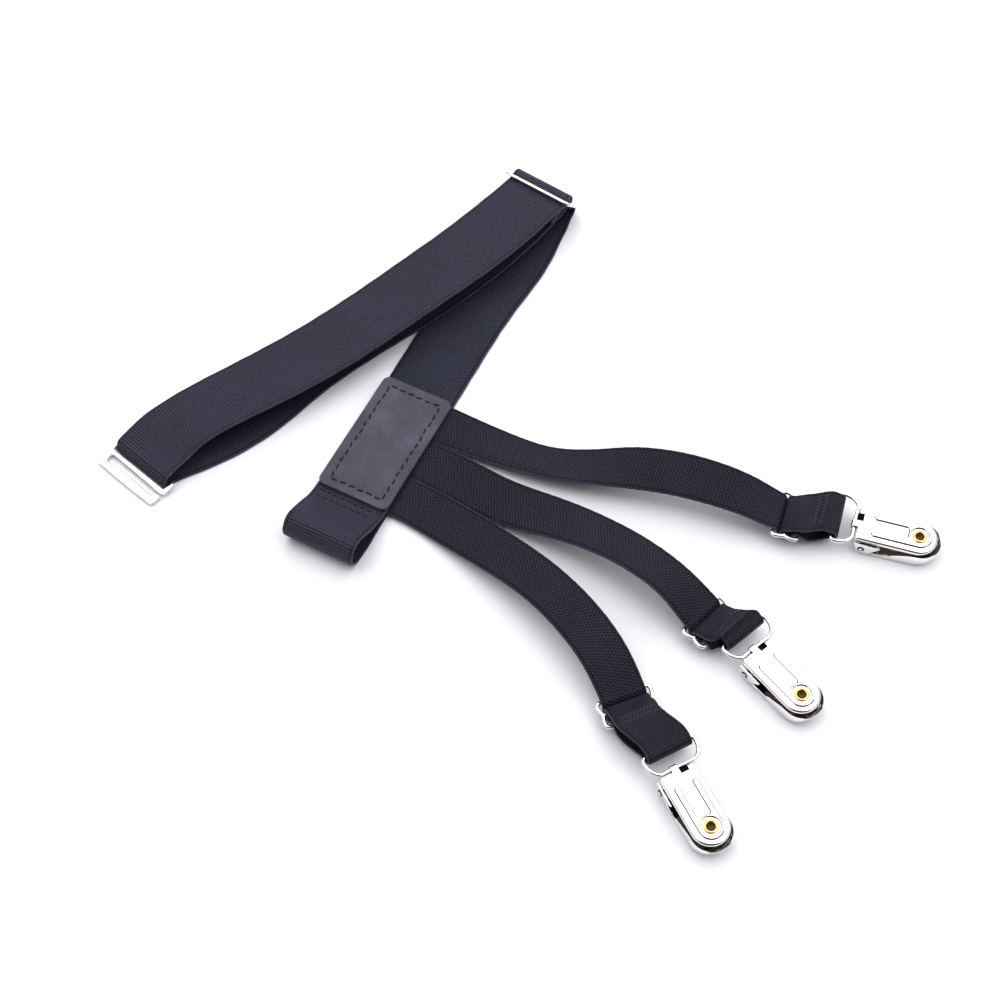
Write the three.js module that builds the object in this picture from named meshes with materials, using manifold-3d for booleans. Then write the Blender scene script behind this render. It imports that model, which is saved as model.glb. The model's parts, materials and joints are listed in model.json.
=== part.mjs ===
// Shirt stay: an elastic thigh band with three clip straps, lying flat and unfastened.
// Millimetres, +Z up. The finished group stands on z = 0 with its box centred over the origin.
import * as THREE from "three";
import { mergeVertices } from "three/addons/utils/BufferGeometryUtils.js";
import Module from "manifold-3d";

const wasm = await Module();
wasm.setup();

// Clearances
const GAP = 0.3; // between two pieces that touch on the real thing
const LAYER_GAP = 0.2; // between two layers of one strip
const FLOOR_GAP = 0.05; // under webbing that lies on the surface

// Webbing
const BAND_WIDTH = 30;
const STRAP_WIDTH = 19.8;
const WEB_THICK = 1.3;

// Leather patch
const PATCH_WIDTH = 33.6;
const PATCH_LENGTH = 62;
const PATCH_THICK = 1.5;
const PATCH_CORNER = 4;
const PATCH_BEVEL = 0.35;
const PATCH_HEADING = 63.2; // degrees from +X, along the patch towards the slider
const SEAM_TUCK = 11; // how far webbing ends reach in under the patch

// Thigh band
const SLIDER_REACH = 146; // patch centre to the first slider bar
const SLIDER_BEARING = 62.9;
const HOOK_REACH = 220.2; // first slider bar to the hook's inner bar
const HOOK_BEARING = -140.66;
const UPPER_LENGTH = 221.7;
const BAND_RISE = 14; // height that the folded band stands at beside the slider
const BAND_TAIL = 14;
const END_LOOP_LENGTH = 29.2;
const END_LOOP_HEIGHT = 15.2;
const END_LOOP_LANDING = 0.74; // where the end loop meets the surface, in shares of END_LOOP_LENGTH
const CURL_SHARE = 0.42; // radius of the curl under the slider, in shares of the last bar's height
const CURL_LEAD = 3; // where the curl starts before the slider, in curl radii
const CURL_END = 35; // degrees, where the curl goes over into the slider's weave
const WEAVE_START = 240; // degrees round the last bar
const WEAVE_END = 268; // degrees round the first bar
const HOOK_FOLD = { place: 0.2, slack: 0.25, from: 40, to: -60, end: -1.2, back: 4 };
const TAIL_TURN = 170; // degrees round the centre bar
const TAIL_SLOPE = 0.05;
const TAIL_DROP = 0.4;
const TAIL_BEND = 0.75; // where the tail straightens, in bar pitches

// Straps
const STRAP_RUNS = [151.6, 141.1, 134.5];
const LOOP_LENGTHS = [24.3, 19.1, 29.4]; // first slider bar to the ring's bar
const STRAP_RISE = 13;
const WRAP_END = 338; // degrees round the slider's middle bar, where a strap's end lies
const LOOP_SHIFT_END = 1; // a strap's loop is square to the ring from here to the ring's bar

// Sliders, ring and hook
const WIRE_RADIUS = 0.85;
const BAR_PITCH = 5.5;
const WIRE_SIDES = 6;
const SLIDER_BOW = 0.75; // how far a slider's side bows out beyond its waist
const SLIDER_STEPS = 36;
const RING_STEPS = 32;
const BAR_STRAIGHT = 0.3; // half of a bar that stays straight, as a share of the webbing's width
const BAND_SLIDER_TILT = 50;
const BAND_SLIDER_HEADING = 56;
const RING_REACH = 8.7;
const HOOK_LENGTH = 34.4;
const HOOK_BAR = 2.3;
const HOOK_END = 1.7; // width of the hook's two ends beside the webbing
const HOOK_THICK = 1.6;
const HOOK_WEB_SLOT = 2.2;
const HOOK_DEPTH = 12.4; // inner bar's axis to the arm's outer edge
const HOOK_HEADING = -130.8;

// Clip, measured from the axis of the ring's inner bar
const CLIP_WIDTH = 16;
const CLIP_LENGTH = 34.5;
const SHEET = 0.6;
const RIM_DEPTH = 2.2;
const TAB_WIDTH = 3;
const TAB_OFFSET = -0.6;
const NOTCH_WIDTH = 3.6;
const NOTCH_DEPTH = 1.5;
const RIB_WIDTH = 2.6;
const RIB_HEIGHT = 0.35;
const RIB_START = 7.2;
const RIB_EDGE = 0.15;
const TONGUE_GAP = 1.6; // between the eyelet and the plain tongue between the rib's legs
const EYELET_PLACE = 27;
const EYELET_RADIUS = 2.6;
const EYELET_BORE = 1.65;
const EYELET_WALL = 0.35;
const EYELET_FLANGE = 0.45; // height of the flange at each end
const EYELET_FOOT = 0.9; // how far the lower flange reaches out
const EYELET_RECESS = 1; // plain ring of plate round the upper flange
const PIVOT_PLACE = 4.8;
const PIVOT_DROP = 4.2; // below the ring bar's axis
const PIN_RADIUS = 1;
const PIN_BITE = 0.4; // how far the ear's bore is narrower than the pin that is pressed in it
const LUG_RADIUS = 2.4;
const LUG_REACH = 2.6; // front edge beyond the pin, in lug radii
const LUG_START = 0.6; // back edge in front of the plate's
const JOIN = 0.1; // depth that two joined bodies share
const JAW_LENGTH = 36.4;
const JAW_DEPTH = 8; // ring bar's axis above the surface that the jaw rests on
const JAW_TIP_DROP = 3.4;
const JAW_START = 0.9; // dish's back edge beyond the pin, in lug radii
const JAW_STEPS = 11;
const JAW_ROUND = 0.97; // roundness of the jaw's tip in plan
const PAD_LENGTH = 20;
const PAD_THICK = 2;
const CLIP_BACK = 1; // plate's back edge beyond the bar's axis

// Rows of the folded band from slider to hook: share of the run, heading in degrees,
// lift in shares of BAND_RISE, bank in degrees with the right-hand edge up
const UPPER_RUN = [
  { at: 0, heading: -128, lift: 1.1, bank: 0 },
  { at: 0.12, heading: -133.5, lift: 1.15, bank: 4 },
  { at: 0.25, heading: -138.8, lift: 1.13, bank: 2.8 },
  { at: 0.4, heading: -140.2, lift: 1.07, bank: 0.6 },
  { at: 0.55, heading: -143.8, lift: 0.95, bank: 0 },
  { at: 0.7, heading: -148.7, lift: 0.85, bank: -2 },
  { at: 0.8, heading: -149.1, lift: 0.79, bank: -4.2 },
  { at: 0.88, heading: -143.7, lift: 0.73, bank: -3.7 },
  { at: 0.95, heading: -135.5, lift: 0.58, bank: 2 },
  { at: 1, heading: -130.8, lift: 0.46, bank: 0 },
];
// Rows of the layer under it, from hook back to slider
const LOWER_RUN = [
  { at: 0, heading: 46, lift: 0, bank: 0 },
  { at: 0.15, heading: 41, lift: 0, bank: 0 },
  { at: 0.35, heading: 43, lift: 0, bank: 0 },
  { at: 0.5, heading: 38.5, lift: 0.06, bank: 0 },
  { at: 0.62, heading: 39, lift: 0.13, bank: 0 },
  { at: 0.75, heading: 41, lift: 0.22, bank: 0 },
  { at: 0.9, heading: 46, lift: 0.52, bank: 0 },
  { at: 1, heading: 52, lift: 0.74, bank: 0 },
];
// Rows of each strap from patch to slider, lift in shares of STRAP_RISE
const STRAP_ROWS = [
  [
    { at: 0, heading: -26.8, lift: 0.18, bank: 0 },
    { at: 0.15, heading: -25, lift: 0.2, bank: 9 },
    { at: 0.3, heading: -20.4, lift: 0.29, bank: 16 },
    { at: 0.45, heading: -10, lift: 0.59, bank: 9.9 },
    { at: 0.6, heading: -11.7, lift: 0.98, bank: -8 },
    { at: 0.75, heading: -16.7, lift: 1.12, bank: -11.1 },
    { at: 0.9, heading: -19.1, lift: 0.95, bank: -1.2 },
    { at: 1, heading: -17.6, lift: 0.5, bank: 8 },
  ],
  [
    { at: 0, heading: -26.8, lift: 0.18, bank: 0 },
    { at: 0.15, heading: -34, lift: 0.3, bank: -14 },
    { at: 0.3, heading: -29.7, lift: 0.39, bank: -15 },
    { at: 0.45, heading: -25.4, lift: 0.72, bank: -1.9 },
    { at: 0.6, heading: -29.5, lift: 0.97, bank: 9.1 },
    { at: 0.75, heading: -36, lift: 1.09, bank: 13.9 },
    { at: 0.9, heading: -43.3, lift: 0.97, bank: 14 },
    { at: 1, heading: -43.5, lift: 0.5, bank: 6 },
  ],
  [
    { at: 0, heading: -26.8, lift: 0.18, bank: 0 },
    { at: 0.15, heading: -36.4, lift: 0.32, bank: -10.1 },
    { at: 0.3, heading: -38.4, lift: 0.56, bank: -10.6 },
    { at: 0.45, heading: -40.1, lift: 0.8, bank: -4.6 },
    { at: 0.6, heading: -46.3, lift: 0.98, bank: -2.6 },
    { at: 0.75, heading: -53.1, lift: 1.01, bank: -3.3 },
    { at: 0.9, heading: -61.9, lift: 0.87, bank: 0 },
    { at: 1, heading: -65.8, lift: 0.5, bank: 5 },
  ],
];
// Side view of a strap's loop beyond its slider: place in shares of the way to the ring's bar,
// height in shares of the loop's top
const LOOP_UNDER = [
  { at: 0.4, up: 0.42 },
  { at: 0.75, up: 0.36 },
];
const LOOP_OVER = [
  { at: 0.85, up: 1.02 },
  { at: 0.6, up: 1.06 },
  { at: 0.3, up: 1.02 },
];
// Jaw's underside from back to tip: share of its length, and depth in shares of two spans,
// from the back edge down to the belly and from the belly up to the tip
const JAW_ROWS = [
  { at: 0, down: 0, up: 0 },
  { at: 0.18, down: 0.85, up: 0 },
  { at: 0.3, down: 1, up: 0 },
  { at: 0.48, down: 1, up: 0 },
  { at: 0.66, down: 1, up: 0.16 },
  { at: 0.84, down: 1, up: 0.5 },
  { at: 1, down: 1, up: 1 },
];
// Corners of a jaw's ear from below its top corner, measured from the pin
const EAR_ROWS = [
  { x: -1.7, z: -2.4 },
  { x: 2.2, z: -3.3 },
  { x: 5.4, z: -2.6 },
  { x: 7.5, z: 2.4 },
];
// Jaw's section from side to side: place in shares of its half width, and turned-up height
const JAW_ACROSS = [
  { at: -1, up: 1.1 },
  { at: -0.86, up: 0.35 },
  { at: -0.5, up: 0 },
  { at: 0, up: 0 },
  { at: 0.5, up: 0 },
  { at: 0.86, up: 0.35 },
  { at: 1, up: 1.1 },
];
// How each strap's loop and ring turn away from the slider, in degrees,
// and how far the clip has slid along the ring's bar
const STRAP_ENDS = [
  { loopTurn: 17.6, ringTurn: 1.4, clipSlide: -1.2 },
  { loopTurn: 31, ringTurn: -6.8, clipSlide: -1.2 },
  { loopTurn: 17, ringTurn: 2.9, clipSlide: -0.6 },
];
// One side of a slider: place along it in bar pitches, bow in shares of SLIDER_BOW
const SLIDER_ROWS = [
  { along: 0, out: -1.1 },
  { along: 0.12, out: 0.7 },
  { along: 0.5, out: 1 },
  { along: 0.86, out: 0.35 },
  { along: 1, out: 0 },
  { along: 1.14, out: 0.35 },
  { along: 1.5, out: 1 },
  { along: 1.88, out: 0.7 },
  { along: 2, out: -1.1 },
];
// One side of a ring from the strap's bar to the clip's: place in shares of RING_REACH,
// distance out in shares of the wide bar's half length
const RING_ROWS = [
  { along: -1, out: 0.5 },
  { along: -1, out: 0.9 },
  { along: -0.9, out: 1.014 },
  { along: -0.62, out: 1.027 },
  { along: -0.34, out: 0.968 },
  { along: -0.1, out: 0.828 },
  { along: 0, out: 0.692 },
  { along: 0, out: 0.382 },
];
// Outline of the hook: distance out in shares of HOOK_DEPTH, place along the bars in shares of
// half of HOOK_LENGTH. It runs round the closed end, out along the arm to its tip, back along
// the arm's slot and round the frame.
const HOOK_ROWS = [
  { out: 0.03, along: -1 },
  { out: 0.86, along: -1 },
  { out: 0.97, along: -0.92 },
  { out: 1, along: 0 },
  { out: 0.97, along: 0.85 },
  { out: 0.89, along: 0.955 },
  { out: 0.61, along: 0.965 },
  { out: 0.54, along: 0.925 },
  { out: 0.54, along: 0.87 },
  { out: 0.61, along: 0.835 },
  { out: 0.725, along: 0.825 },
  { out: 0.66, along: 0 },
  { out: 0.72, along: -0.72 },
  { out: 0.61, along: -0.84 },
  { out: 0.5, along: -0.815 },
  { out: 0.435, along: -0.72 },
  { out: 0.46, along: 0.85 },
  { out: 0.445, along: 0.955 },
  { out: 0.355, along: 1.02 },
  { out: 0.025, along: 1.02 },
  { out: -0.093, along: 0.94 },
  { out: -0.093, along: -0.92 },
];
// Side view of the end loop: distance beyond the patch in shares of END_LOOP_LENGTH,
// height in shares of END_LOOP_HEIGHT
const END_LOOP_ROWS = [
  { out: 0.12, up: 0.29 },
  { out: 0.32, up: 0.43 },
  { out: 0.52, up: 0.67 },
  { out: 0.7, up: 0.87 },
  { out: 0.84, up: 0.93 },
  { out: 0.95, up: 0.76 },
  { out: 0.99, up: 0.5 },
  { out: 0.95, up: 0.26 },
  { out: 0.86, up: 0.1 },
];

// Plain vectors and headings
const rad = THREE.MathUtils.degToRad;
const UP = new THREE.Vector3(0, 0, 1);
const ahead = (heading) => new THREE.Vector3(Math.cos(rad(heading)), Math.sin(rad(heading)), 0);
const rightOf = (heading) => ahead(heading - 90);
const webFloor = FLOOR_GAP + WEB_THICK / 2; // centre height of webbing on the surface
const layerStep = WEB_THICK + GAP;
const snug = WIRE_RADIUS + GAP + WEB_THICK / 2; // strip centre round a bare bar
const over = snug + WEB_THICK + LAYER_GAP; // strip centre round a wrapped bar
// Angle on one bar where a strip crosses over to the next
const crossAngle = THREE.MathUtils.radToDeg(Math.acos((snug + over) / BAR_PITCH));

// Height that keeps a banked strip's lower edge off the surface
const bankedHeight = (flat, width, bank) => flat + (width / 2) * Math.abs(Math.sin(rad(bank)));

// Smooth value between the rows of a table, through each row
function between(rows, key, at) {
  const last = rows.length - 1;
  const slope = (i) => {
    const a = rows[Math.max(i - 1, 0)];
    const b = rows[Math.min(i + 1, last)];
    return (b[key] - a[key]) / (b.at - a.at);
  };
  let i = 0;
  while (i < last - 1 && at > rows[i + 1].at) i += 1;
  const span = rows[i + 1].at - rows[i].at;
  const t = (at - rows[i].at) / span;
  const start = (2 * t ** 3 - 3 * t ** 2 + 1) * rows[i][key] + (t ** 3 - 2 * t ** 2 + t) * span * slope(i);
  const end = (3 * t ** 2 - 2 * t ** 3) * rows[i + 1][key] + (t ** 3 - t ** 2) * span * slope(i + 1);
  return start + end;
}

// Stations of webbing laid out from a start, true to length along its slope and clear of the surface.
// With `to` given the plan is leaned evenly so that it ends there.
function lay(rows, { from, run, rise, width, steps, to }) {
  const stations = [];
  const spot = new THREE.Vector3(from.x, from.y, rows[0].lift * rise);
  for (let i = 0; i <= steps; i += 1) {
    const at = i / steps;
    const heading = between(rows, "heading", at);
    const bank = between(rows, "bank", at);
    const lift = Math.max(between(rows, "lift", at) * rise, bankedHeight(webFloor, width, bank));
    if (i > 0) {
      const climb = lift - spot.z;
      const flat = Math.sqrt(Math.max((run / steps) ** 2 - climb ** 2, 0));
      spot.addScaledVector(ahead(heading), flat);
    }
    spot.z = lift;
    stations.push({ place: spot.clone(), heading, bank, at });
  }
  if (to) {
    const lean = new THREE.Vector3(to.x - spot.x, to.y - spot.y, 0);
    for (const s of stations) s.place.addScaledVector(lean, s.at);
  }
  return stations;
}

// Stations in an upright plane: each point is a distance along the heading and a height
function upright(points, origin, heading, sideHeading = heading, bank = 0) {
  return points.map((p) => ({
    place: origin.clone().addScaledVector(ahead(heading), p.x).setZ(p.y),
    heading: sideHeading,
    bank,
  }));
}

// Points of an arc round an axis in a side view, angles in degrees from the forward direction
function arc(centre, radius, from, to, step = 20) {
  const count = Math.max(2, Math.ceil(Math.abs(to - from) / step));
  const points = [];
  for (let i = 0; i <= count; i += 1) {
    const a = rad(from + ((to - from) * i) / count);
    points.push(new THREE.Vector2(centre.x + radius * Math.cos(a), centre.y + radius * Math.sin(a)));
  }
  return points;
}

// Points of a smooth line in a side view through the given points
function smooth(points, count) {
  const places = points.map((p) => new THREE.Vector3(p.x, p.y, 0));
  const curve = new THREE.CatmullRomCurve3(places, false, "centripetal");
  return curve.getPoints(count).map((p) => new THREE.Vector2(p.x, p.y));
}

// A closed strip of webbing through its stations
function strip(stations, width, thick) {
  const places = stations.map((s) => s.place);
  const points = [];
  stations.forEach((s, i) => {
    const before = places[Math.max(i - 1, 0)];
    const after = places[Math.min(i + 1, places.length - 1)];
    const tangent = after.clone().sub(before).normalize();
    const side = rightOf(s.heading).multiplyScalar(Math.cos(rad(s.bank)));
    side.addScaledVector(UP, Math.sin(rad(s.bank)));
    const face = side.clone().cross(tangent).normalize();
    for (const [a, b] of [[-1, -1], [1, -1], [1, 1], [-1, 1]]) {
      const corner = s.place.clone().addScaledVector(side, (a * width) / 2);
      corner.addScaledVector(face, (b * thick) / 2);
      points.push(corner.x, corner.y, corner.z);
    }
  });
  const index = [];
  for (let i = 0; i < stations.length - 1; i += 1) {
    for (let k = 0; k < 4; k += 1) {
      const a = i * 4 + k;
      const b = i * 4 + ((k + 1) % 4);
      index.push(a, a + 4, b, b, a + 4, b + 4);
    }
  }
  const end = (stations.length - 1) * 4;
  index.push(0, 1, 2, 0, 2, 3, end, end + 2, end + 1, end, end + 3, end + 2);
  const geometry = new THREE.BufferGeometry();
  geometry.setAttribute("position", new THREE.Float32BufferAttribute(points, 3));
  geometry.setIndex(index);
  return geometry;
}

// Solids for joins and cuts
function solid(geometry) {
  const bare = geometry.clone();
  for (const name of Object.keys(bare.attributes)) if (name !== "position") bare.deleteAttribute(name);
  const merged = mergeVertices(bare, 1e-4);
  const mesh = new wasm.Mesh({
    numProp: 3,
    vertProperties: new Float32Array(merged.attributes.position.array),
    triVerts: new Uint32Array(merged.index.array),
  });
  return new wasm.Manifold(mesh);
}

function asGeometry(body) {
  const mesh = body.getMesh();
  const geometry = new THREE.BufferGeometry();
  geometry.setAttribute("position", new THREE.Float32BufferAttribute(mesh.vertProperties, 3));
  geometry.setIndex(Array.from(mesh.triVerts));
  return geometry;
}

const joined = (geometries) => geometries.map(solid).reduce((a, b) => a.add(b));
const block = (x, y, z, cx, cy, cz) => new THREE.BoxGeometry(x, y, z).translate(cx, cy, cz);

// Flat sheet with an outline in plan, from one height to another
function sheet(shape, low, high, curveSegments = 6) {
  const settings = { depth: high - low, bevelEnabled: false, curveSegments };
  return new THREE.ExtrudeGeometry(shape, settings).translate(0, 0, low);
}

// Upright sheet with an outline in the x-z view, between two distances across
function sideSheet(shape, inner, outer, curveSegments = 5) {
  const settings = { depth: outer - inner, bevelEnabled: false, curveSegments };
  return new THREE.ExtrudeGeometry(shape, settings).rotateX(Math.PI / 2).translate(0, outer, 0);
}

// Round bar across the piece, along Y
const crossBar = (radius, length, x, z, sides = 12) =>
  new THREE.CylinderGeometry(radius, radius, length, sides).translate(x, 0, z);

// Materials
const finish = (color, roughness, metalness = 0) =>
  new THREE.MeshStandardMaterial({ color, roughness, metalness });
const webbing = () => finish(0x1d1d26, 0.85);
const nickel = () => finish(0xe4e2de, 0.18, 1);
const brass = () => finish(0xc9a24a, 0.25, 1);
const leather = () => finish(0x3a3a42, 0.6);
const padPlastic = () => finish(0x8c8780, 0.5);

const group = new THREE.Group();
function add(parent, name, geometry, material) {
  const mesh = new THREE.Mesh(geometry, material);
  mesh.name = name;
  parent.add(mesh);
  return mesh;
}

// Leather patch, leaned a little by the layers that lie under its lower edge
const patchLow = webFloor + WEB_THICK / 2 + GAP + WEB_THICK + GAP; // underside at the upper edge
const patchLean = layerStep / PATCH_LENGTH;
const underPatch = (along) => patchLow + (PATCH_LENGTH / 2 - along) * patchLean;

function patchGeometry() {
  const x = PATCH_LENGTH / 2 - PATCH_BEVEL;
  const y = PATCH_WIDTH / 2 - PATCH_BEVEL;
  const r = PATCH_CORNER - PATCH_BEVEL;
  const shape = new THREE.Shape();
  shape.absarc(x - r, y - r, r, 0, Math.PI / 2);
  shape.absarc(-x + r, y - r, r, Math.PI / 2, Math.PI);
  shape.absarc(-x + r, -y + r, r, Math.PI, 1.5 * Math.PI);
  shape.absarc(x - r, -y + r, r, 1.5 * Math.PI, 2 * Math.PI);
  const depth = PATCH_THICK - 2 * PATCH_BEVEL;
  const bevel = { bevelEnabled: true, bevelThickness: PATCH_BEVEL, bevelSize: PATCH_BEVEL, bevelSegments: 1 };
  return new THREE.ExtrudeGeometry(shape, { depth, curveSegments: 5, ...bevel }).translate(0, 0, PATCH_BEVEL);
}

const patch = add(group, "leather_patch", patchGeometry(), leather());
patch.rotation.set(0, Math.atan(patchLean), rad(PATCH_HEADING), "ZYX");
patch.position.set(0, 0, underPatch(0));

// Closed loop of wire through one side's rows, mirrored across the middle
function wireLoop(rows, steps) {
  const points = [
    ...rows.map(({ x, y }) => new THREE.Vector3(x, y, 0)),
    ...rows.map(({ x, y }) => new THREE.Vector3(x, -y, 0)).reverse(),
  ];
  const curve = new THREE.CatmullRomCurve3(points, true, "centripetal");
  return new THREE.TubeGeometry(curve, steps, WIRE_RADIUS, WIRE_SIDES, true);
}

// Three-bar slider: a bowed wire frame with a straight bar across its middle.
// Local x runs along the webbing from the first bar, y across it.
function sliderGeometry(webWidth) {
  const waist = webWidth / 2 + GAP + WIRE_RADIUS;
  const half = SLIDER_ROWS.map((row) => ({ x: row.along * BAR_PITCH, y: waist + row.out * SLIDER_BOW }));
  const bars = [0, 2 * BAR_PITCH].map((x) => ({ x, y: webWidth * BAR_STRAIGHT }));
  const side = [bars[0], ...half, bars[1]];
  const centreBar = crossBar(WIRE_RADIUS, waist * 2, BAR_PITCH, 0, WIRE_SIDES);
  return asGeometry(joined([wireLoop(side, SLIDER_STEPS), centreBar]));
}

// Thigh band with its slider
const patchDirection = ahead(PATCH_HEADING);
const sliderPlan = ahead(SLIDER_BEARING).multiplyScalar(SLIDER_REACH);
const upperStart = UPPER_RUN[0].lift * BAND_RISE;
const sliderBars = [0, 1, 2].map((i) => new THREE.Vector2(
  i * BAR_PITCH * Math.cos(rad(BAND_SLIDER_TILT)),
  upperStart + snug - i * BAR_PITCH * Math.sin(rad(BAND_SLIDER_TILT)),
));
const bandSlider = add(group, "band_slider", sliderGeometry(BAND_WIDTH), nickel());
bandSlider.position.set(sliderPlan.x, sliderPlan.y, sliderBars[0].y);
bandSlider.rotation.set(0, rad(BAND_SLIDER_TILT), rad(BAND_SLIDER_HEADING), "ZYX");

// Hook: a flat frame in the band's fold with an arm that is open to the loop it catches.
// Local x runs outwards from the inner bar's axis, y along the bars.
function hookGeometry() {
  const inner = HOOK_BAR / 2;
  const slotEnd = HOOK_LENGTH / 2 - HOOK_END;
  const shape = new THREE.Shape(HOOK_ROWS.map(({ out, along }) =>
    new THREE.Vector2(out * HOOK_DEPTH, (along * HOOK_LENGTH) / 2)));
  const slot = new THREE.Path();
  slot.moveTo(inner, -slotEnd);
  slot.lineTo(inner + HOOK_WEB_SLOT, -slotEnd);
  slot.lineTo(inner + HOOK_WEB_SLOT, slotEnd);
  slot.lineTo(inner, slotEnd);
  shape.holes.push(slot);
  return sheet(shape, -HOOK_THICK / 2, HOOK_THICK / 2);
}

const hookHeight = webFloor + WEB_THICK / 2 + GAP + HOOK_THICK / 2;
const hookTilt = Math.asin((hookHeight - HOOK_THICK / 2 - FLOOR_GAP) / HOOK_DEPTH);
const hookPlan = sliderPlan.clone().addScaledVector(ahead(HOOK_BEARING), HOOK_REACH);
const hook = add(group, "hook", hookGeometry(), nickel());
hook.position.set(hookPlan.x, hookPlan.y, hookHeight);
hook.rotation.set(0, hookTilt, rad(HOOK_HEADING), "ZYX");

// Side view of the band's end loop and its run under the patch, ending on the surface
function endLoopPoints() {
  const edge = -PATCH_LENGTH / 2;
  const tucked = (along) => new THREE.Vector2(along, underPatch(along) - GAP - WEB_THICK / 2);
  const rows = END_LOOP_ROWS.map((row) => new THREE.Vector2(
    edge - row.out * END_LOOP_LENGTH + WEB_THICK / 2,
    Math.max(row.up * END_LOOP_HEIGHT, webFloor),
  ));
  const landing = new THREE.Vector2(edge - END_LOOP_LENGTH * END_LOOP_LANDING, webFloor);
  return [tucked(edge + SEAM_TUCK), ...smooth([tucked(edge + 1), ...rows, landing], 36)];
}

// Stations of the whole band: end loop, run on the surface, curl, slider, upper run,
// hook fold, lower run, slider wrap and tail
function bandStations() {
  const origin = new THREE.Vector3();
  const [first, centre, last] = sliderBars;
  const axis = 180 - BAND_SLIDER_TILT;
  const curlRadius = last.y * CURL_SHARE;
  const curlCentre = new THREE.Vector2(last.x - WEB_THICK, webFloor + curlRadius);
  const curlStart = SLIDER_REACH - curlRadius * CURL_LEAD;
  const edge = -PATCH_LENGTH / 2;
  const lie = [edge, -edge, SLIDER_REACH / 2, curlStart].map((x) => new THREE.Vector2(x, webFloor));
  const surface = upright([...endLoopPoints(), ...lie], origin, PATCH_HEADING);
  const curl = arc(curlCentre, curlRadius, -90, CURL_END);
  const weave = [
    ...arc(last, snug, WEAVE_START, axis + crossAngle),
    ...arc(centre, over, axis + crossAngle - 180, axis - crossAngle),
    ...arc(first, snug, axis + 180 - crossAngle, WEAVE_END, 10),
  ];
  const turned = upright([...curl, ...weave], sliderPlan, BAND_SLIDER_HEADING);
  turned.forEach((s, i) => {
    const share = i / curl.length;
    s.heading = PATCH_HEADING + (BAND_SLIDER_HEADING - PATCH_HEADING) * Math.min(share, 1);
  });
  const weaveEnd = turned[turned.length - 1].place;
  const upper = lay(UPPER_RUN, {
    from: weaveEnd, run: UPPER_LENGTH, rise: BAND_RISE, width: BAND_WIDTH, steps: 36, to: hookPlan,
  });
  const flipped = upper.map((s) => ({ ...s, heading: s.heading + 180, bank: -s.bank }));
  const foldCentre = new THREE.Vector2(HOOK_FOLD.place, hookHeight);
  const foldSize = snug + HOOK_THICK / 2 - WIRE_RADIUS + HOOK_FOLD.slack;
  const hookFold = upright([
    ...arc(foldCentre, foldSize, HOOK_FOLD.from, HOOK_FOLD.to),
    new THREE.Vector2(HOOK_FOLD.end, webFloor),
  ], hookPlan, HOOK_HEADING, HOOK_HEADING + 180);
  const under = new THREE.Vector2(centre.x - BAR_PITCH, centre.y - snug);
  const wrapStart = upright([under], sliderPlan, BAND_SLIDER_HEADING)[0].place;
  const floorLift = webFloor / BAND_RISE;
  const rows = LOWER_RUN.map((row) => ({ ...row, lift: Math.max(row.lift, floorLift) }));
  const back = hookPlan.clone().addScaledVector(ahead(HOOK_HEADING), -HOOK_FOLD.back);
  const lower = lay(rows, {
    from: back, run: back.distanceTo(wrapStart), rise: BAND_RISE, width: BAND_WIDTH, steps: 28, to: wrapStart,
  });
  const tailLift = (centre.y + first.y - snug) / 2 - TAIL_DROP;
  const wrap = [
    ...arc(centre, snug, -90, TAIL_TURN),
    new THREE.Vector2(centre.x - BAR_PITCH * TAIL_BEND, tailLift),
    new THREE.Vector2(centre.x - BAND_TAIL, tailLift - BAND_TAIL * TAIL_SLOPE),
  ];
  const tail = upright(wrap, sliderPlan, BAND_SLIDER_HEADING);
  return [...surface, ...turned, ...flipped, ...hookFold, ...lower, ...tail];
}
add(group, "thigh_band", strip(bandStations(), BAND_WIDTH, WEB_THICK), webbing());

// Ring: a wire loop with a straight wide bar in the strap and a narrower bar for the clip.
// Local origin on the clip's bar, x towards the clip, y along the bars.
function ringGeometry() {
  const wide = STRAP_WIDTH / 2 + GAP + WIRE_RADIUS;
  return wireLoop(RING_ROWS.map((row) => ({ x: row.along * RING_REACH, y: row.out * wide })), RING_STEPS);
}

// Plan outline of the clip: square at the back, round at the tip
function clipOutline(back, length, half, segments = 8) {
  const shape = new THREE.Shape();
  shape.moveTo(back, -half);
  for (let i = 0; i <= segments; i += 1) {
    const a = -Math.PI / 2 + (Math.PI * i) / segments;
    shape.lineTo(length - half * 0.95 + half * 0.95 * Math.cos(a), half * Math.sin(a));
  }
  shape.lineTo(back, half);
  return shape;
}

const plateTop = WIRE_RADIUS + GAP + SHEET; // above the ring bar's axis
const plateLow = plateTop - SHEET;

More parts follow.
